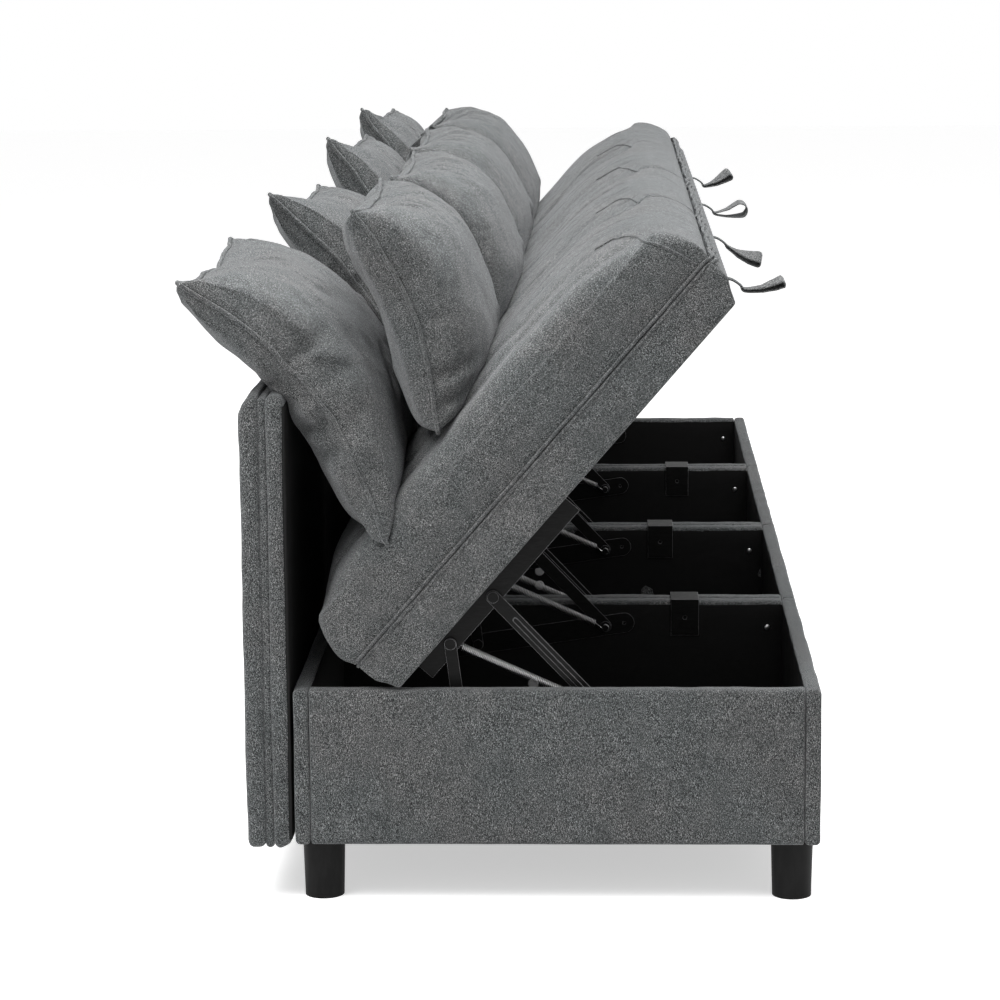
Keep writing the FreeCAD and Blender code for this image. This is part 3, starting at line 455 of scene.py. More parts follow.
# The gap that each side cover leaves where it meets the covers of the ends
SEAM = 0.0005
LINING_THICK = 0.0006
# The distance between points on flat cloth, and on the lining
CELL = 0.012
LINING_CELL = 0.016
# How far the cloth of a panel rises and falls, on its faces and along its top
PANEL_WAVE = 0.0006
TOP_WAVE = 0.0007
# The same for the lining; the side walls stay flatter, as the lift mechanism is close to them
SIDE_LINING_WAVE = 0.0003
END_LINING_WAVE = 0.0010
LINING_TOP_WAVE = 0.0012


def board(low, high, radii, seed):
    """One padded panel with slightly uneven cloth."""
    points, faces = slab(low, high, radii, CELL)
    lift = swell(points, 0.14, seed) * PANEL_WAVE
    centre = (np.array(low) + np.array(high)) / 2
    thin = int(np.argmin(np.array(high) - np.array(low)))
    points[:, thin] += lift * np.sign(points[:, thin] - centre[thin])
    top = points[:, 2] > high[2] - 0.008
    points[top, 2] += TOP_WAVE * swell(points[top], 0.07, seed + 1)
    return points, faces


def lining_sheet(low, high, thin, inward, seed):
    """The lining glued to a panel's inner face, from the board up to just under the wrap. It is
    thin along one axis and bulges inward along it."""
    points, faces = slab(low, high, (0.0005, 0.0005, 0.0005), LINING_CELL)
    wave = SIDE_LINING_WAVE if thin == 0 else END_LINING_WAVE
    points[:, thin] += inward * (np.abs(swell(points, 0.16, seed)) * wave)
    top = points[:, 2] > high[2] - 0.004
    points[top, 2] += LINING_TOP_WAVE * swell(points[top], 0.09, seed + 2)
    return points, faces


def storage_box(k):
    """The cloth-covered panels of one box and the lining inside."""
    inner_low, inner_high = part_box(f"bottom_board_{k}")
    low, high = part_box(f"side_panels_{k}")
    near, far = low.y + SEAM, high.y - SEAM
    radii = (0.0065, 0.0032, 0.0065)
    covers = {
        "side_panels": [
            board((low.x, near, low.z), (inner_low.x, far, high.z), radii, 10 * k),
            board((high.x - (inner_low.x - low.x), near, low.z), (high.x, far, high.z), radii, 10 * k + 1),
        ]
    }
    radii = (0.0032, 0.0065, 0.0065)
    for node, seed in (("front_panel", 2), ("rear_panel", 3)):
        covers[node] = [board(*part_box(f"{node}_{k}"), radii, 10 * k + seed)]
    for node, parts in covers.items():
        obj = new_object(f"{node}_cover_{k}", *merged(parts), CLOTH)
        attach(obj, "base")
        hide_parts(f"{node}_{k}")

    top = high.z - WRAP
    t = LINING_THICK
    x0, x1, y0, y1, z0 = inner_low.x, inner_high.x, low.y, high.y, inner_high.z
    sheets = [
        lining_sheet((x0, y0, z0), (x0 + t, y1, top), 0, 1, 20 * k),
        lining_sheet((x1 - t, y0, z0), (x1, y1, top), 0, -1, 20 * k + 3),
        lining_sheet((x0 + t, y0, z0), (x1 - t, y0 + t, top), 1, 1, 20 * k + 6),
        lining_sheet((x0 + t, y1 - t, z0), (x1 - t, y1, top), 1, -1, 20 * k + 9),
        lining_sheet((x0 + t, y0 + t, z0), (x1 - t, y1 - t, z0 + t), 2, 1, 20 * k + 12),
    ]
    obj = new_object(f"well_lining_{k}", *merged(sheets), LINING)
    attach(obj, "base")


# The back panel: its front pad and the piping band between the pads, and how far the band is sunk
FRONT_PAD = 0.024
BAND = 0.008
BAND_SINK = 0.003
# How far the rear pad's top leans in, from this height down, and how tall its scalloped foot is
REAR_SLOPE = 0.013
SLOPE_HEIGHT = 0.026
FOOT_HEIGHT = 0.030


def back_panel(k):
    """Two pads with a piping band sunk between them and a scalloped foot, and the black lining
    over the front pad. It stands a few millimetres off the CAD panel, as photographed."""
    low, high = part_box(f"back_panel_{k}")
    low.y += 0.0025
    high.y += 0.0040
    low.z -= 0.0060
    high.z -= 0.0040
    y1 = low.y + FRONT_PAD
    y2 = y1 + BAND
    parts = []
    for a, b, seed in ((low.y, y1, 1), (y2, high.y, 2)):
        points, faces = slab((low.x, a, low.z), (high.x, b, high.z), (0.009, 0.010, 0.012), CELL)
        if seed == 2:
            slope = np.clip((points[:, 2] - high.z + SLOPE_HEIGHT) / SLOPE_HEIGHT, 0, 1)
            points[:, 1] -= REAR_SLOPE * slope**1.5 * np.clip((points[:, 1] - a) / (b - a), 0, 1)
        side = np.sign(points[:, 1] - (a + (b - a) / 2))
        points[:, 1] += 0.0012 * swell(points, 0.16, 60 * k + seed) * side
        foot = np.clip((low.z + FOOT_HEIGHT - points[:, 2]) / FOOT_HEIGHT, 0, 1)
        points[:, 2] += foot * 0.003 * swell(points, 0.05, 61 * k + seed)
        parts.append((points, faces))
    obj = new_object(f"back_pads_{k}", *merged(parts), CLOTH)
    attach(obj, "base")
    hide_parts(f"back_panel_{k}")
    points, faces = slab(
        (low.x + BAND_SINK, y1 - 0.002, low.z + 0.001),
        (high.x - BAND_SINK, y2 + 0.002, high.z - BAND_SINK),
        (0.005, 0.006, 0.006),
        CELL,
    )
    points[:, 1] += 0.0006 * swell(points, 0.12, 62 * k)
    obj = new_object(f"back_piping_{k}", points, faces, CLOTH)
    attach(obj, "base")
    points, faces = slab(
        (low.x + 0.003, low.y - 0.0016, low.z + 0.012),
        (high.x - 0.003, low.y + 0.004, high.z - 0.014),
        (0.002, 0.0015, 0.002),
        CELL,
    )
    points[:, 1] -= 0.0006 * np.abs(swell(points, 0.1, 66 * k)) * (points[:, 1] < low.y)
    obj = new_object(f"back_lining_{k}", points, faces, LINING)
    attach(obj, "base")


# Seats, in the lid's frame: x from the rear to the front, y along the row and z out of the seat


CENTRES = {k: middle(f"seat_frame_{k}").x for k in MODULES}
SEAT_LENGTH = 0.668
HALF_SEAT = 0.289
# Half the width of the frame's cover, a little narrower so that neighbours stay apart
HALF_SIDE = 0.2882
FRAME_HEIGHT = 0.058


def lid_matrix(k):
    c, s = math.cos(LID_TILT), math.sin(LID_TILT)
    return placed(((0, -c, s), (1, 0, 0), (0, s, c)), (CENTRES[k], *LID_CORNER))


# The seat's side outline as (x, z) in millimetres, from the rear of the piping to its front
SEAT_OUTLINE = (
    (-10, 60), (-18, 72), (-21, 86), (-17, 105), (-6, 133), (8, 148), (38, 166), (76, 175),
    (160, 180), (274, 185), (397, 190), (479, 187), (558, 183), (612, 170), (652, 151),
    (676, 126), (688, 98), (691, 74), (684, 60),
)


def profile_rings(outline, half, rolls, steps, dome, heart):
    """An upholstered block as (points, faces): its side outline swept across, drawn in at both
    sides by the roll of each point and closed by gently domed side faces round a heart line."""
    roll = rolls[:, None]
    widest = rolls.max()
    ways = unit(np.roll(outline, -1, axis=0) - np.roll(outline, 1, axis=0))
    outward = np.column_stack([-ways[:, 1], ways[:, 0]])
    rings = []
    low, high = heart
    core = np.clip(outline, low, high)
    inset = outline - outward * roll
    for share in np.linspace(0.0, 1.0, 8)[:-1]:
        flat = core + (inset - core) * share
        y = -half - dome * (1 - share**2)
        rings.append(np.column_stack([flat[:, 0], np.full(len(flat), y), flat[:, 1]]))
    for angle in np.linspace(0, math.pi / 2, 7):
        flat = outline - outward * roll * (1 - math.sin(angle))
        y = -half + rolls * (1 - math.cos(angle))
        rings.append(np.column_stack([flat[:, 0], y, flat[:, 1]]))
    places = np.linspace(-half + widest, half - widest, steps)[1:-1]
    body = [np.column_stack([outline[:, 0], np.full(len(outline), y), outline[:, 1]]) for y in places]
    mirrored = [r * (1, -1, 1) for r in rings[::-1]]
    rings = rings + body + mirrored
    return weld(np.vstack(rings), quads(len(rings), len(outline), around=True))


def closed_outline(upper, step):
    """A closed outline in metres with even steps, from an upper curve in millimetres, clockwise
    as seen from the near side."""
    upper = np.asarray(upper, float)
    curve = level_steps(spline(upper, 12), step)
    base = level_steps(np.array([upper[-1], upper[0]]), step)
    return np.vstack([curve[:-1], base[:-1]]) * 0.001


# Where the valleys in a seat's top lie across it
CREASE_PLACES = (-0.205, -0.13, -0.065, 0.01, 0.085, 0.15, 0.215)


def creases(points, k):
    """How deep the valleys are at each point. They run along the seat's depth, each slightly bent
    and fading at the ends."""
    rng = np.random.default_rng(300 + k)
    x, y = points[:, 0], points[:, 1]
    drop = np.zeros(len(points))
    for place in CREASE_PLACES:
        place += rng.uniform(-0.014, 0.014)
        bend = 0.012 * np.sin(x * rng.uniform(5, 9) + rng.uniform(0, 6))
        bend = bend + 0.004 * np.sin(x * rng.uniform(18, 30))
        width = rng.uniform(0.006, 0.014)
        depth = rng.uniform(0.0015, 0.0050)
        start = rng.uniform(-0.05, 0.12)
        fade = smooth_step(x, start, start + 0.12) * (1 - smooth_step(x, rng.uniform(0.60, 0.66), 0.70))
        drop += depth * fade * np.exp(-(((y - place - bend) / width) ** 2))
    return drop


# The seam down each front corner of the seat, as (along, above)
SIDE_SEAM = ((0.590, 0.171), (0.632, 0.155), (0.655, 0.131), (0.666, 0.098), (0.671, 0.070))
# How far the seat's top falls from its middle to its sides
CROWN = 0.026
# The two rows of piping between the cushion and the frame, as (above, reach, radius)
PIPINGS = ((0.0588, 0.0002, 0.0030), (0.0652, 0.0006, 0.0023))
PIPING_CORNER = 0.016


def seat_cushion(k, matrix):
    """The crowned and creased block of the seat."""
    outline = closed_outline(SEAT_OUTLINE, 9.0)
    rolls = 0.004 + 0.024 * smooth_step(outline[:, 1], 0.075, 0.150)
    points, faces = profile_rings(
        outline, HALF_SEAT - 0.0055, rolls, 132, 0.0045, ((0.14, 0.115), (0.54, 0.115))
    )
    upper = smooth_step(points[:, 2], 0.135, 0.165)
    across = points[:, 1] / HALF_SEAT
    points[:, 2] -= upper * CROWN * np.abs(across) ** 2.6
    points[:, 2] -= upper * creases(points, k)
    body = smooth_step(points[:, 2], 0.062, 0.08)
    points[:, 2] += body * 0.0022 * swell(points, 0.22, 70 + k)
    points[:, 0] += body * 0.0015 * swell(points, 0.12, 80 + k)
    side = smooth_step(np.abs(points[:, 1]), HALF_SEAT - 0.03, HALF_SEAT - 0.006) * body
    points[:, 1] += side * 0.0010 * swell(points, 0.15, 90 + k)
    obj = new_object(f"seat_cushion_cover_{k}", points, faces, CLOTH_LAID, matrix)
    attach(obj, f"lid_{k}")
    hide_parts(f"seat_cushion_{k}")
    return obj


def seat_frame(k, matrix):
    """The cover of the frame, which flares at its rear and front up to the piping."""
    low, high = (0, -HALF_SIDE, 0), (SEAT_LENGTH, HALF_SIDE, FRAME_HEIGHT)
    points, faces = slab(low, high, (0.006, 0.003, 0.003), CELL)
    x, y, z = points.T.copy()
    rear = smooth_step(-x, -0.02, 0) * smooth_step(z, 0.004, 0.034)
    front = smooth_step(x, SEAT_LENGTH - 0.02, SEAT_LENGTH) * smooth_step(z, 0.002, 0.034)
    points[:, 0] += -0.012 * rear + 0.018 * front
    points[:, 1] += 0.0007 * swell(points, 0.18, 95 + k) * np.sign(y) * (np.abs(y) > 0.28)
    obj = new_object(f"seat_frame_cover_{k}", points, faces, CLOTH_LAID, matrix)
    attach(obj, f"lid_{k}")
    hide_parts(f"seat_frame_{k}")


def seat_piping(k, matrix):
    """Two rows of piping all round the seat, a little wavy along its front."""
    corner = PIPING_CORNER
    for index, (above, reach, radius) in enumerate(PIPINGS):
        low_x = -0.014 - reach
        high_x = SEAT_LENGTH + 0.020 + reach
        high_y = HALF_SEAT + reach - 0.0028
        path = []
        for cx, cy, start in (
            (high_x - corner, high_y - corner, 0),
            (low_x + corner, high_y - corner, 90),
            (low_x + corner, -high_y + corner, 180),
            (high_x - corner, -high_y + corner, 270),
        ):
            for angle in np.radians(np.linspace(start, start + 90, 7)):
                path.append((cx + corner * math.cos(angle), cy + corner * math.sin(angle), above))
        path = level_steps(np.array(path + path[:1]), 0.008)[:-1]
        path[:, 2] += 0.0006 * swell(path, 0.1, 110 + k + index)
        at_front = smooth_step(path[:, 0], SEAT_LENGTH + 0.010, SEAT_LENGTH + 0.020)
        path[:, 2] += at_front * (0.004 * swell(path, 0.09, 130 + k) - 0.004)
        path[:, 0] += at_front * (0.0035 + 0.0015 * swell(path, 0.07, 140 + k))
        points, faces = tube(path, radius, 8, closed=True)
        obj = new_object(f"seat_piping_{k}_{index + 1}", points, faces, CLOTH_LAID, matrix)
        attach(obj, f"lid_{k}")


def seat_corner_seams(k, matrix, cover):
    """The raised seams down both front corners, laid on the cushion's sides."""
    cover = cover.data
    tree = BVHTree.FromPolygons([v.co for v in cover.vertices], [p.vertices[:] for p in cover.polygons])
    parts = []
    for sign in (-1, 1):
        path = []
        for x, z in spline(SIDE_SEAM, 8):
            hit = tree.ray_cast(Vector((x, sign * 0.4, z)), Vector((0, -sign, 0)), 0.4)[0]
            path.append((x, hit.y + sign * 0.0004, z))
        parts.append(tube(path, 0.0019, 6))
    obj = new_object(f"seat_corner_seams_{k}", *merged(parts), CLOTH_LAID, matrix)
    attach(obj, f"lid_{k}")


def seat(k):
    matrix = lid_matrix(k)
    cover = seat_cushion(k, matrix)
    seat_frame(k, matrix)
    seat_piping(k, matrix)
    seat_corner_seams(k, matrix, cover)


# Loose pieces


def loose_matrix(k, node, lean):
    """The frame of a leaning piece: x out of its front, y along the row and z up along it. Its
    origin is the middle of its foot, read from the CAD node."""
    c, s = math.cos(math.radians(lean)), math.sin(math.radians(lean))
    up = Vector((0, s, c))
    spots = [v.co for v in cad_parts[f"{node}_{k}"].data.vertices]
    lowest = min(p.dot(up) for p in spots)
    foot = [p for p in spots if p.dot(up) < lowest + 0.0005]
    m = placed(((0, -c, s), (1, 0, 0), up), sum(foot, Vector()) / len(foot))
    m.translation.x = CENTRES[k]
    return m


# The cut of a sheet: how far its sides bulge and its corners draw in, as shares
CUT_BULGE = 0.035
CUT_CORNER = 0.05
# How much larger the cloth is than its cut, as a share
SPARE_CLOTH = 0.035
# How far each sheet stands out before the simulation
START_SWELL = 0.062
# The grid of the filled cloth, the steps of its simulation and the filling's pressure
CLOTH_CELL = 0.0085
CLOTH_STEPS = 34
FILLING = 5.0
# How much of the filled cloth's folds a loose piece shows
FOLD_GAIN = 0.9
# The tube along a sewn edge and how far it stands proud
SEAM_RADIUS = 0.0029
SEAM_PROUD = 0.0022
# How far a loose piece stays clear of its neighbours, and how deep a point is looked for in them
CLEAR = 0.0012
PRESS_REACH = 0.05


def blown_up(width, height, seed):
    """Two sheets sewn at their edges and filled until they are taut. Returns the points, the faces,
    each point's place across and up from -1 to 1, which sheet it is on, and the number of rows."""
    columns, rows = int(round(width / CLOTH_CELL)) + 1, int(round(height / CLOTH_CELL)) + 1
    index, points, flat, sheet = {}, [], [], []
    for layer in (1, -1):
        for r in range(rows):
            for c in range(columns):
                rim = r in (0, rows - 1) or c in (0, columns - 1)
                if rim and layer == -1:
                    index[layer, r, c] = index[1, r, c]
                    continue
                u, v = 2 * c / (columns - 1) - 1, 2 * r / (rows - 1) - 1
                index[layer, r, c] = len(points)
                y = u * width / 2 * (1 + CUT_BULGE * (1 - v * v) - CUT_CORNER * u * u * v * v)
                z = v * height / 2 * (1 + CUT_BULGE * (1 - u * u) - CUT_CORNER * u * u * v * v)
                full = ((1 - abs(u) ** 3.2) * (1 - abs(v) ** 3.2)) ** 0.55
                points.append((layer * START_SWELL * full, y, z))
                flat.append((u, v))
                sheet.append(0 if rim else layer)
    faces = []
    for layer in (1, -1):
        for r in range(rows - 1):
            for c in range(columns - 1):
                corners = ((r, c), (r, c + 1), (r + 1, c + 1), (r + 1, c))
                faces.append(tuple(index[layer, a, b] for a, b in corners[::layer]))
    points, flat, sheet = np.array(points), np.array(flat), np.array(sheet)
    points[:, 0] += 0.0006 * swell(points, 0.05, seed)
    obj = new_object("blown_up", points, faces)
    cloth = obj.modifiers.new("cloth", "CLOTH").settings
    cloth.quality = 7
    cloth.mass = 0.25
    cloth.tension_stiffness = 25
    cloth.compression_stiffness = 25
    cloth.shear_stiffness = 12
    cloth.bending_stiffness = 0.25
    cloth.tension_damping = 12
    cloth.compression_damping = 12
    cloth.shear_damping = 12
    cloth.air_damping = 3
    cloth.shrink_min = -SPARE_CLOTH
    cloth.use_pressure = True
    cloth.uniform_pressure_force = FILLING
    cloth.effector_weights.gravity = 0
    scene = bpy.context.scene
    for step in range(1, CLOTH_STEPS + 1):
        scene.frame_set(step)
    bpy.context.view_layer.update()
    shown = obj.evaluated_get(bpy.context.evaluated_depsgraph_get())
    out = np.array([v.co for v in shown.data.vertices], float)
    bpy.data.objects.remove(obj)
    scene.frame_set(1)
    return out, faces, flat, sheet, rows


def pressed(points, tree):
    """Pushes the points that are inside a neighbour out to just clear of it."""
    for i, p in enumerate(points):
        place, normal, _, _ = tree.find_nearest(Vector(p), PRESS_REACH)
        if place is None:
            continue
        depth = (Vector(p) - place).dot(normal)
        if depth < CLEAR:
            points[i] = np.array(p) + np.array(normal) * (CLEAR - depth)
    return points


def tree_of(obj):
    """A search tree of the object's faces in the world."""
    bpy.context.view_layer.update()
    spots = [obj.matrix_world @ v.co for v in obj.data.vertices]
    return BVHTree.FromPolygons(spots, [p.vertices[:] for p in obj.data.polygons])


def even(grid, rounds):
    """A grid of points smoothed by its neighbours, with straight edges kept straight."""
    for _ in range(rounds):
        wide = np.pad(grid, ((1, 1), (1, 1), (0, 0)), mode="reflect", reflect_type="odd")
        near = wide[:-2, 1:-1] + wide[2:, 1:-1] + wide[1:-1, :-2] + wide[1:-1, 2:]
        grid = grid * 0.5 + near * 0.125
    return grid


def folds_of(blown):
    """What the filling did to the cloth beyond its smooth shape: puckers, folds and ripples."""
    points, _, flat, sheet, rows = blown
    columns = int(np.sum(sheet >= 0)) // rows
    folds = np.zeros_like(points)
    for layer in (1, -1):
        on = np.where((sheet == layer) | (sheet == 0))[0]
        order = on[np.lexsort((np.round(flat[on, 0], 4), np.round(flat[on, 1], 4)))]
        grid = points[order].reshape(rows, columns, 3)
        folds[order] = (grid - even(grid, 26)).reshape(-1, 3)
    folds[sheet == 0] *= 0.5
    return folds


def loose_piece(kind, k, blown, lean, form, pinches, neighbours):
    """A sewn and filled cover that leans on its seat. Its form is read from the photograph, and
    it keeps the folds of the filled cloth. Its top edge sags between the corners, its foot's
    corners hang down by the droop, and each pinch draws in the near edge of module 1."""
    _, faces, flat, sheet, _ = blown
    u, v = flat[:, 0], flat[:, 1]
    share = np.clip(v / 2 + 0.5, 0, 1)
    inside = sheet != 0
    full = ((1 - np.abs(u) ** form["fullness"]) * (1 - np.abs(v) ** form["fullness"])) ** 0.5
    full *= 1 - 0.62 * np.abs(u * v) ** 5
    height = form["height"]
    points = np.column_stack(
        [
            np.where(sheet > 0, form["front"], -form["rear"]) * full * inside,
            u * form["width"] / 2 * (1 - 0.035 * (1 - v**2)),
            v * height / 2 * (1 - 0.030 * (1 - u**2)),
        ]
    )
    points += folds_of(blown) * FOLD_GAIN
    beside = np.maximum(np.abs(u), np.abs(v))
    groove = np.exp(-(((beside - 0.972) / 0.014) ** 2)) * inside * 0.0045
    points[:, 1] -= groove * np.sign(u) * (np.abs(u) >= np.abs(v))
    points[:, 2] -= groove * np.sign(v) * (np.abs(v) > np.abs(u))
    if k == 1:
        for place, layer, depth in pinches:
            near = np.exp(-(((share - place) / 0.026) ** 2)) * (1 - smooth_step(u, -1.0, -0.68))
            points[:, 1] += near * depth * (sheet == layer)
            points[:, 0] -= near * depth * (sheet == layer) * layer
    points[:, 0] += form["bow"] * np.sin(np.pi * share) ** 1.1
    points[:, 0] += 0.0022 * swell(points, 0.11, 500 + k)
    points[:, 2] += height / 2 - form["droop"] * np.abs(u) ** 2.4 * (1 - share) ** 1.5
    fall = form["sag"] * (1 - u**2) + form["far_drop"] * np.clip(u, 0, 1) ** 1.5
    points[:, 2] -= fall * share**2
    points += form["shift"]

    matrix = loose_matrix(k, kind, lean)
    world = np.array([matrix @ Vector(p) for p in points])
    for tree in neighbours:
        world = pressed(world, tree)
    back = matrix.inverted()
    points = np.array([back @ Vector(p) for p in world])
    name = f"{kind}_cover_{k}"
    obj = new_object(name, points, faces, CLOTH_LAID, matrix)
    smooth = obj.modifiers.new("smooth", "SUBSURF")
    smooth.levels = smooth.render_levels = 1
    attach(obj, f"{kind}_{k}")
    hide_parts(f"{kind}_{k}")

    bpy.context.view_layer.update()
    shown = obj.evaluated_get(bpy.context.evaluated_depsgraph_get()).data.vertices
    loop = np.where(sheet == 0)[0]
    loop = loop[np.argsort(np.arctan2(v[loop], u[loop]))]
    rim = np.array([shown[int(i)].co for i in loop], float)
    rim_u, rim_v = u[loop], v[loop]
    rim[:, 1] += SEAM_PROUD * np.sign(rim_u) * np.abs(rim_u) ** 12
    rim[:, 2] += SEAM_PROUD * rim_v**13
    seam = new_object(f"{name}_seam", *tube(rim, SEAM_RADIUS, closed=True), CLOTH_LAID, matrix)
    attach(seam, f"{kind}_{k}")
    return obj


# The loose pieces of each module as photographed, from the near end: how far each leans back in
# degrees, the shares of its swell and its bow that are left, and how far its top edge sags
CUSHION_LEANS = (37.5, 34.0, 31.0, 30.0)
CUSHION_PRESS = (1.0, 0.8, 0.62, 0.58)
CUSHION_BOW = (1.0, 0.7, 0.25, 0.2)
CUSHION_SAGS = (0.008, 0.034, 0.030, 0.028)
PILLOW_LEANS = (20.0, 26.0, 30.0, 28.5)
PILLOW_PRESS = (1.0, 0.8, 0.66, 0.62)
# Pinches in the near edge, as (share of the height, sheet, depth)
CUSHION_PINCHES = ((0.60, 1, 0.011), (0.40, -1, 0.012), (0.31, -1, 0.010), (0.49, -1, 0.008))
PILLOW_PINCHES = ((0.22, 1, 0.009), (0.11, 1, 0.008))


def cushion_form(k):
    first = k == 1
    return {
        "width": 0.580 if first else 0.570,
        "height": 0.400,
        "front": 0.076 * CUSHION_PRESS[k - 1],
        "rear": 0.060,
        "fullness": 4.5,
        "bow": 0.044 * CUSHION_BOW[k - 1],
        "sag": CUSHION_SAGS[k - 1],
        "far_drop": 0.0 if first else 0.040,
        "droop": 0.034,
        "shift": (0.014, -0.010, -0.010) if first else (0.008, 0.0, -0.014),
    }


def pillow_form(k):
    first = k == 1
    return {
        "width": 0.520,
        "height": 0.302 if first else 0.278,
        "front": 0.088,
        "rear": 0.054 * PILLOW_PRESS[k - 1],
        "fullness": 3.6,
        "bow": 0.024,
        "sag": 0.010,
        "far_drop": 0.0,
        "droop": 0.006,
        "shift": (0.016, -0.004, -0.012 if first else -0.016),
    }


# Pull tabs

# Of each module: the way its loop points, in degrees above level, how far it gapes, and its twist
TAB_DROOPS = (8, -26, 8, 22)
TAB_GAPES = (0.008, 0.010, 0.024, 0.012)
TAB_TWISTS = (16, 34, 14, 30)
TAB_WIDTH = 0.026
TAB_THICK = 0.0022
# From its root to the tip of the loop
TAB_REACH = 0.056
# The y and z of a tab's root, where the loop opens
TAB_ROOT = (-0.3255, 0.7760)
# The stem in the lid's frame as (along, above), from inside the lid round its front edge
TAB_STEM = ((0.6560, 0.0040), (0.6650, 0.0015), (0.6695, -0.0035), (0.6715, -0.0120), (0.6718, -0.0200))
# The loop's middle line as (reach, turn in degrees from the droop)
TAB_BEND = ((0.018, -6), (0.036, 0), (0.062, 5))
SPLINE_STEPS = 12


def tab_route(k):
    """The middle line of one tab as (ahead, above) from its root: out of the lid, round the lid's
    front edge and then out, with the lengths along it and how long its stem is."""
    matrix = lid_matrix(k)
    spots = []
    for along, above in TAB_STEM:
        spot = matrix @ Vector((along, 0, above))
        spots.append((TAB_ROOT[0] - spot.y, spot.z - TAB_ROOT[1]))
    spots.append((0.0, 0.0))
    for reach, turn in TAB_BEND:
        angle = math.radians(TAB_DROOPS[k - 1] + turn)
        spots.append((reach * math.cos(angle), reach * math.sin(angle)))
    line = spline(spots, SPLINE_STEPS)
    lengths = lengths_along(line)
    return line, lengths, lengths[len(TAB_STEM) * SPLINE_STEPS]


def tab_strip(stem, half):
    """The folded strip laid out straight, as rings of (along, off, across) points. Its two runs
    lie together on the stem and part at the root."""
    upper = [
        (-stem, 0.0006),
        (-0.010, 0.0007),
        (0.0, TAB_THICK * 0.7),
        (0.026, half * 0.62),
        (TAB_REACH - half, half),
    ]
    turns = np.radians((60, 30, 0, -30, -60))
    tip = [(TAB_REACH - half + half * math.cos(a), half * math.sin(a)) for a in turns]
    lower = [(s, -t) for s, t in upper[::-1]]
    path = level_steps(spline(upper + tip + lower, 6), 0.0022)
    ways = unit(np.gradient(path, axis=0))
    outward = np.column_stack([-ways[:, 1], ways[:, 0]])
    across = np.linspace(-TAB_WIDTH / 2, TAB_WIDTH / 2, 9)
    rings = []
    for spot, out in zip(path, outward):
        full = 0.5 + 0.5 * float(smooth_step(spot[0], -0.012, 0.0))
        ring = []
        for side, order in ((1, across), (-1, across[::-1])):
            for x in order:
                edge = 1 - 0.45 * (abs(x) > TAB_WIDTH / 2 - 0.001)
                ring.append((*(spot + out * side * TAB_THICK / 2 * edge * full), x))
        rings.append(ring)
    return np.array(rings)


def pull_tab(k):
    """A folded loop of webbing sewn into the seat's front edge, a little twisted and open."""
    line, lengths, stem = tab_route(k)
    strip = tab_strip(stem, TAB_GAPES[k - 1] / 2)
    rings, sides = strip.shape[:2]
    points = strip.reshape(-1, 3)
    s, t, x = points[:, 0], points[:, 1], points[:, 2]
    turn = math.radians(TAB_TWISTS[k - 1]) * smooth_step(s, 0.0, TAB_REACH)
    x, t = x * np.cos(turn) - t * np.sin(turn), x * np.sin(turn) + t * np.cos(turn)
    t = t + 0.0006 * swell(points, 0.03, 400 + k) * smooth_step(s, 0.0, 0.02)

    def on_line(place):
        return np.column_stack([np.interp(place, lengths, line[:, i]) for i in range(2)])

    place = s + stem
    spot = on_line(place)
    way = unit(on_line(place + 0.002) - on_line(place - 0.002))
    ahead, above = spot[:, 0] - t * way[:, 1], spot[:, 1] + t * way[:, 0]
    local = np.column_stack([x, -ahead, above])
    root = Matrix.Translation((CENTRES[k], *TAB_ROOT))
    obj = new_object(f"pull_tab_webbing_{k}", local, capped(rings, sides), TAPE, root)
    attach(obj, f"lid_{k}")
    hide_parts(f"pull_tab_{k}")


# Small fittings inside the boxes


# The y and z of each module's stickers on the far wall, and of its screw
STICKERS = {1: ((-0.0287, 0.161),), 2: ((-0.0267, 0.238), (-0.0267, 0.212), (-0.0267, 0.188))}
SCREW = (-0.3737, 0.246)


def disc(place, wall, radius, thick, dome, tree):
    """A thin round piece that faces the near end, laid on the far wall's lining."""
    sides = 24
    rings = [(0.0, dome), (0.45, dome * 0.85), (0.8, dome * 0.4), (1.0, 0.0)]
    points = []
    for share, lift in rings:
        for angle in np.linspace(0, 2 * math.pi, sides, endpoint=False):
            y = place[0] + radius * share * math.cos(angle)
            z = place[1] + radius * share * math.sin(angle)
            hit = tree.ray_cast(Vector((wall - 0.05, y, z)), Vector((1, 0, 0)), 0.2)[0]
            base = hit.x if hit is not None else wall
            points.append((base - thick - lift, y, z))
    points += [(x + thick * 1.5, y, z) for x, y, z in points[-sides:]]
    faces = quads(len(rings) + 1, sides, around=True)
    faces.append(tuple(range(len(points) - sides, len(points))))
    return weld(np.array(points), faces, 1e-7)


def fittings(k):
    """Bare white stickers and the screw on the far wall of one box."""
    tree = tree_of(bpy.data.objects[f"well_lining_{k}"])
    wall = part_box(f"bottom_board_{k}")[1].x
    stickers = [disc(place, wall, 0.0078, 0.0003, 0.0, tree) for place in STICKERS.get(k, ())]
    if stickers:
        obj = new_object(f"well_stickers_{k}", *merged(stickers), PAPER)
        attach(obj, "base")
    obj = new_object(f"well_screws_{k}", *disc(SCREW, wall, 0.0042, 0.0008, 0.0012, tree), ZINC)
    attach(obj, "base")


# Springs

COILS = 78
COIL_RADIUS = 0.0048
EYE_RADIUS = 0.0048
WIRE = 0.0005
# From the middle of an eye to the first coil
HOOK = 0.016
# The y and z of the two pins that a spring hangs between
FRONT_PIN = (-0.1357, 0.2493)
REAR_PIN = (0.067468, 0.341092)


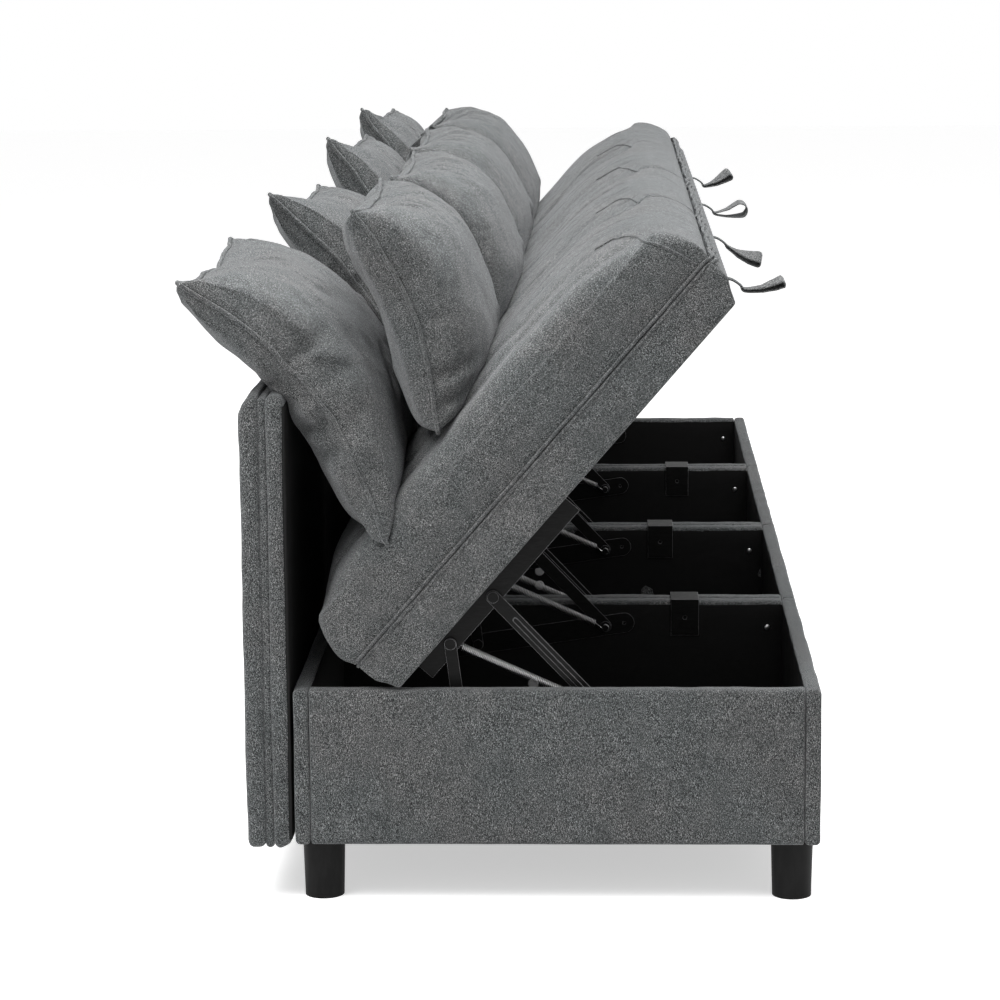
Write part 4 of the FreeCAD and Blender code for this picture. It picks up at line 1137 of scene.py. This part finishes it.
def spring_path(start, end):
    """The middle line of a close-wound coil between two hooked eyes, from start to end."""
    way = (end - start).normalized()
    side = Vector((1, 0, 0))
    other = way.cross(side)
    eyes = []
    for centre, sense in ((start, 1), (end, -1)):
        eye = []
        for angle in np.radians(np.linspace(-150, 150, 15)):
            eye.append(centre + EYE_RADIUS * (other * math.sin(angle) - way * sense * math.cos(angle)))
        eyes.append(eye)
    length = (end - start).length - 2 * HOOK
    coil = []
    for i in range(COILS * 10 + 1):
        share = i / (COILS * 10)
        angle = 2 * math.pi * COILS * share
        out = side * math.cos(angle) + other * math.sin(angle)
        coil.append(start + way * (HOOK + length * share) + out * COIL_RADIUS)
    return [tuple(p) for p in eyes[0] + coil + eyes[1][::-1]]


def springs(k):
    low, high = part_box(f"springs_{k}")
    for side, x in (("left", low.x + COIL_RADIUS + WIRE), ("right", high.x - COIL_RADIUS - WIRE)):
        path = spring_path(Vector((x, *FRONT_PIN)), Vector((x, *REAR_PIN)))
        obj = new_object(f"lift_spring_{side}_{k}", *tube(path, WIRE, 6), ZINC)
        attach(obj, f"lift_springs_{k}")
        if side == "left":
            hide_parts(f"springs_{k}")


# Build

for k in MODULES:
    storage_box(k)
    back_panel(k)
    seat(k)
    springs(k)
    pull_tab(k)
    fittings(k)

cushion_blown = blown_up(0.60, 0.46, 1)
pillow_blown = blown_up(0.56, 0.37, 2)
for k in MODULES:
    neighbours = [
        tree_of(bpy.data.objects[f"seat_cushion_cover_{k}"]),
        tree_of(bpy.data.objects[f"back_pads_{k}"]),
    ]
    cushion = loose_piece(
        "back_cushion", k, cushion_blown, CUSHION_LEANS[k - 1], cushion_form(k), CUSHION_PINCHES, neighbours
    )
    neighbours[1] = tree_of(cushion)
    loose_piece(
        "throw_pillow", k, pillow_blown, PILLOW_LEANS[k - 1], pillow_form(k), PILLOW_PINCHES, neighbours
    )


# Stage, light and camera

# The strength of the world's light on the object; the camera sees it as white
WORLD_LIGHT = 0.49
# What the floor adds of its own for the camera, so that it is white round the object's shadow
FLOOR_GLOW = 0.52
FLOOR_SIZE = 30


def seen(tree):
    """One for rays from the camera and for what metal and glass show, zero for the rest."""
    path = tree.nodes.new("ShaderNodeLightPath")
    total = path.outputs["Is Camera Ray"]
    for name in ("Is Glossy Ray", "Is Transmission Ray"):
        node = tree.nodes.new("ShaderNodeMath")
        node.operation = "MAXIMUM"
        tree.links.new(total, node.inputs[0])
        tree.links.new(path.outputs[name], node.inputs[1])
        total = node.outputs[0]
    return total


def area_light(name, place, target, size, power):
    data = bpy.data.lights.new(name, "AREA")
    data.shape = "RECTANGLE"
    data.size, data.size_y = size
    data.energy = power
    obj = bpy.data.objects.new(name, data)
    bpy.context.scene.collection.objects.link(obj)
    obj.location = place
    obj.rotation_euler = (Vector(target) - Vector(place)).to_track_quat("-Z", "Y").to_euler()


bpy.ops.mesh.primitive_plane_add(size=FLOOR_SIZE, location=(0, 0, 0))
floor = bpy.context.object
floor.name = "floor"
n = Nodes("floor")
n.set(Base_Color=(0.85, 0.85, 0.85, 1), Roughness=0.9, Emission_Color=(1, 1, 1, 1))
n.set(Emission_Strength=n.maths("MULTIPLY", seen(n.tree), FLOOR_GLOW))
floor.data.materials.append(n.material)

world = bpy.data.worlds.new("studio")
bpy.context.scene.world = world
world.use_nodes = True
tree = world.node_tree
strength = tree.nodes.new("ShaderNodeMath")
strength.operation = "MULTIPLY_ADD"
tree.links.new(seen(tree), strength.inputs[0])
strength.inputs[1].default_value = 1 - WORLD_LIGHT
strength.inputs[2].default_value = WORLD_LIGHT
backdrop = tree.nodes["Background"]
backdrop.inputs["Color"].default_value = (1, 1, 1, 1)
tree.links.new(strength.outputs[0], backdrop.inputs["Strength"])

area_light("top_light", (-0.2, -0.3, 3.6), (0.0, 0.0, 0.3), (4.5, 3.0), 225)
area_light("key_light", (-2.0, 1.3, 2.5), (-0.8, 0.3, 0.8), (1.4, 1.2), 46)

# The camera stands beyond the near end and looks along the row. Its angles are in radians.
CAMERA_PLACE = (-5.1707, -0.1350, 1.2667)
YAW, PITCH, ROLL = 0.0336, 0.1796, -0.0080
camera_data = bpy.data.cameras.new("camera")
camera_data.sensor_width = 36
camera_data.lens = 113.913
camera_data.clip_end = 100
camera = bpy.data.objects.new("camera", camera_data)
bpy.context.scene.collection.objects.link(camera)
bpy.context.scene.camera = camera
forward = Vector((math.cos(YAW) * math.cos(PITCH), math.sin(YAW) * math.cos(PITCH), -math.sin(PITCH)))
right = forward.cross(Vector((0, 0, 1))).normalized()
up = right.cross(forward)
turned_right = right * math.cos(ROLL) + up * math.sin(ROLL)
turned_up = up * math.cos(ROLL) - right * math.sin(ROLL)
camera.matrix_world = placed((turned_right, turned_up, -forward), CAMERA_PLACE)
bpy.context.scene.view_settings.view_transform = "Standard"
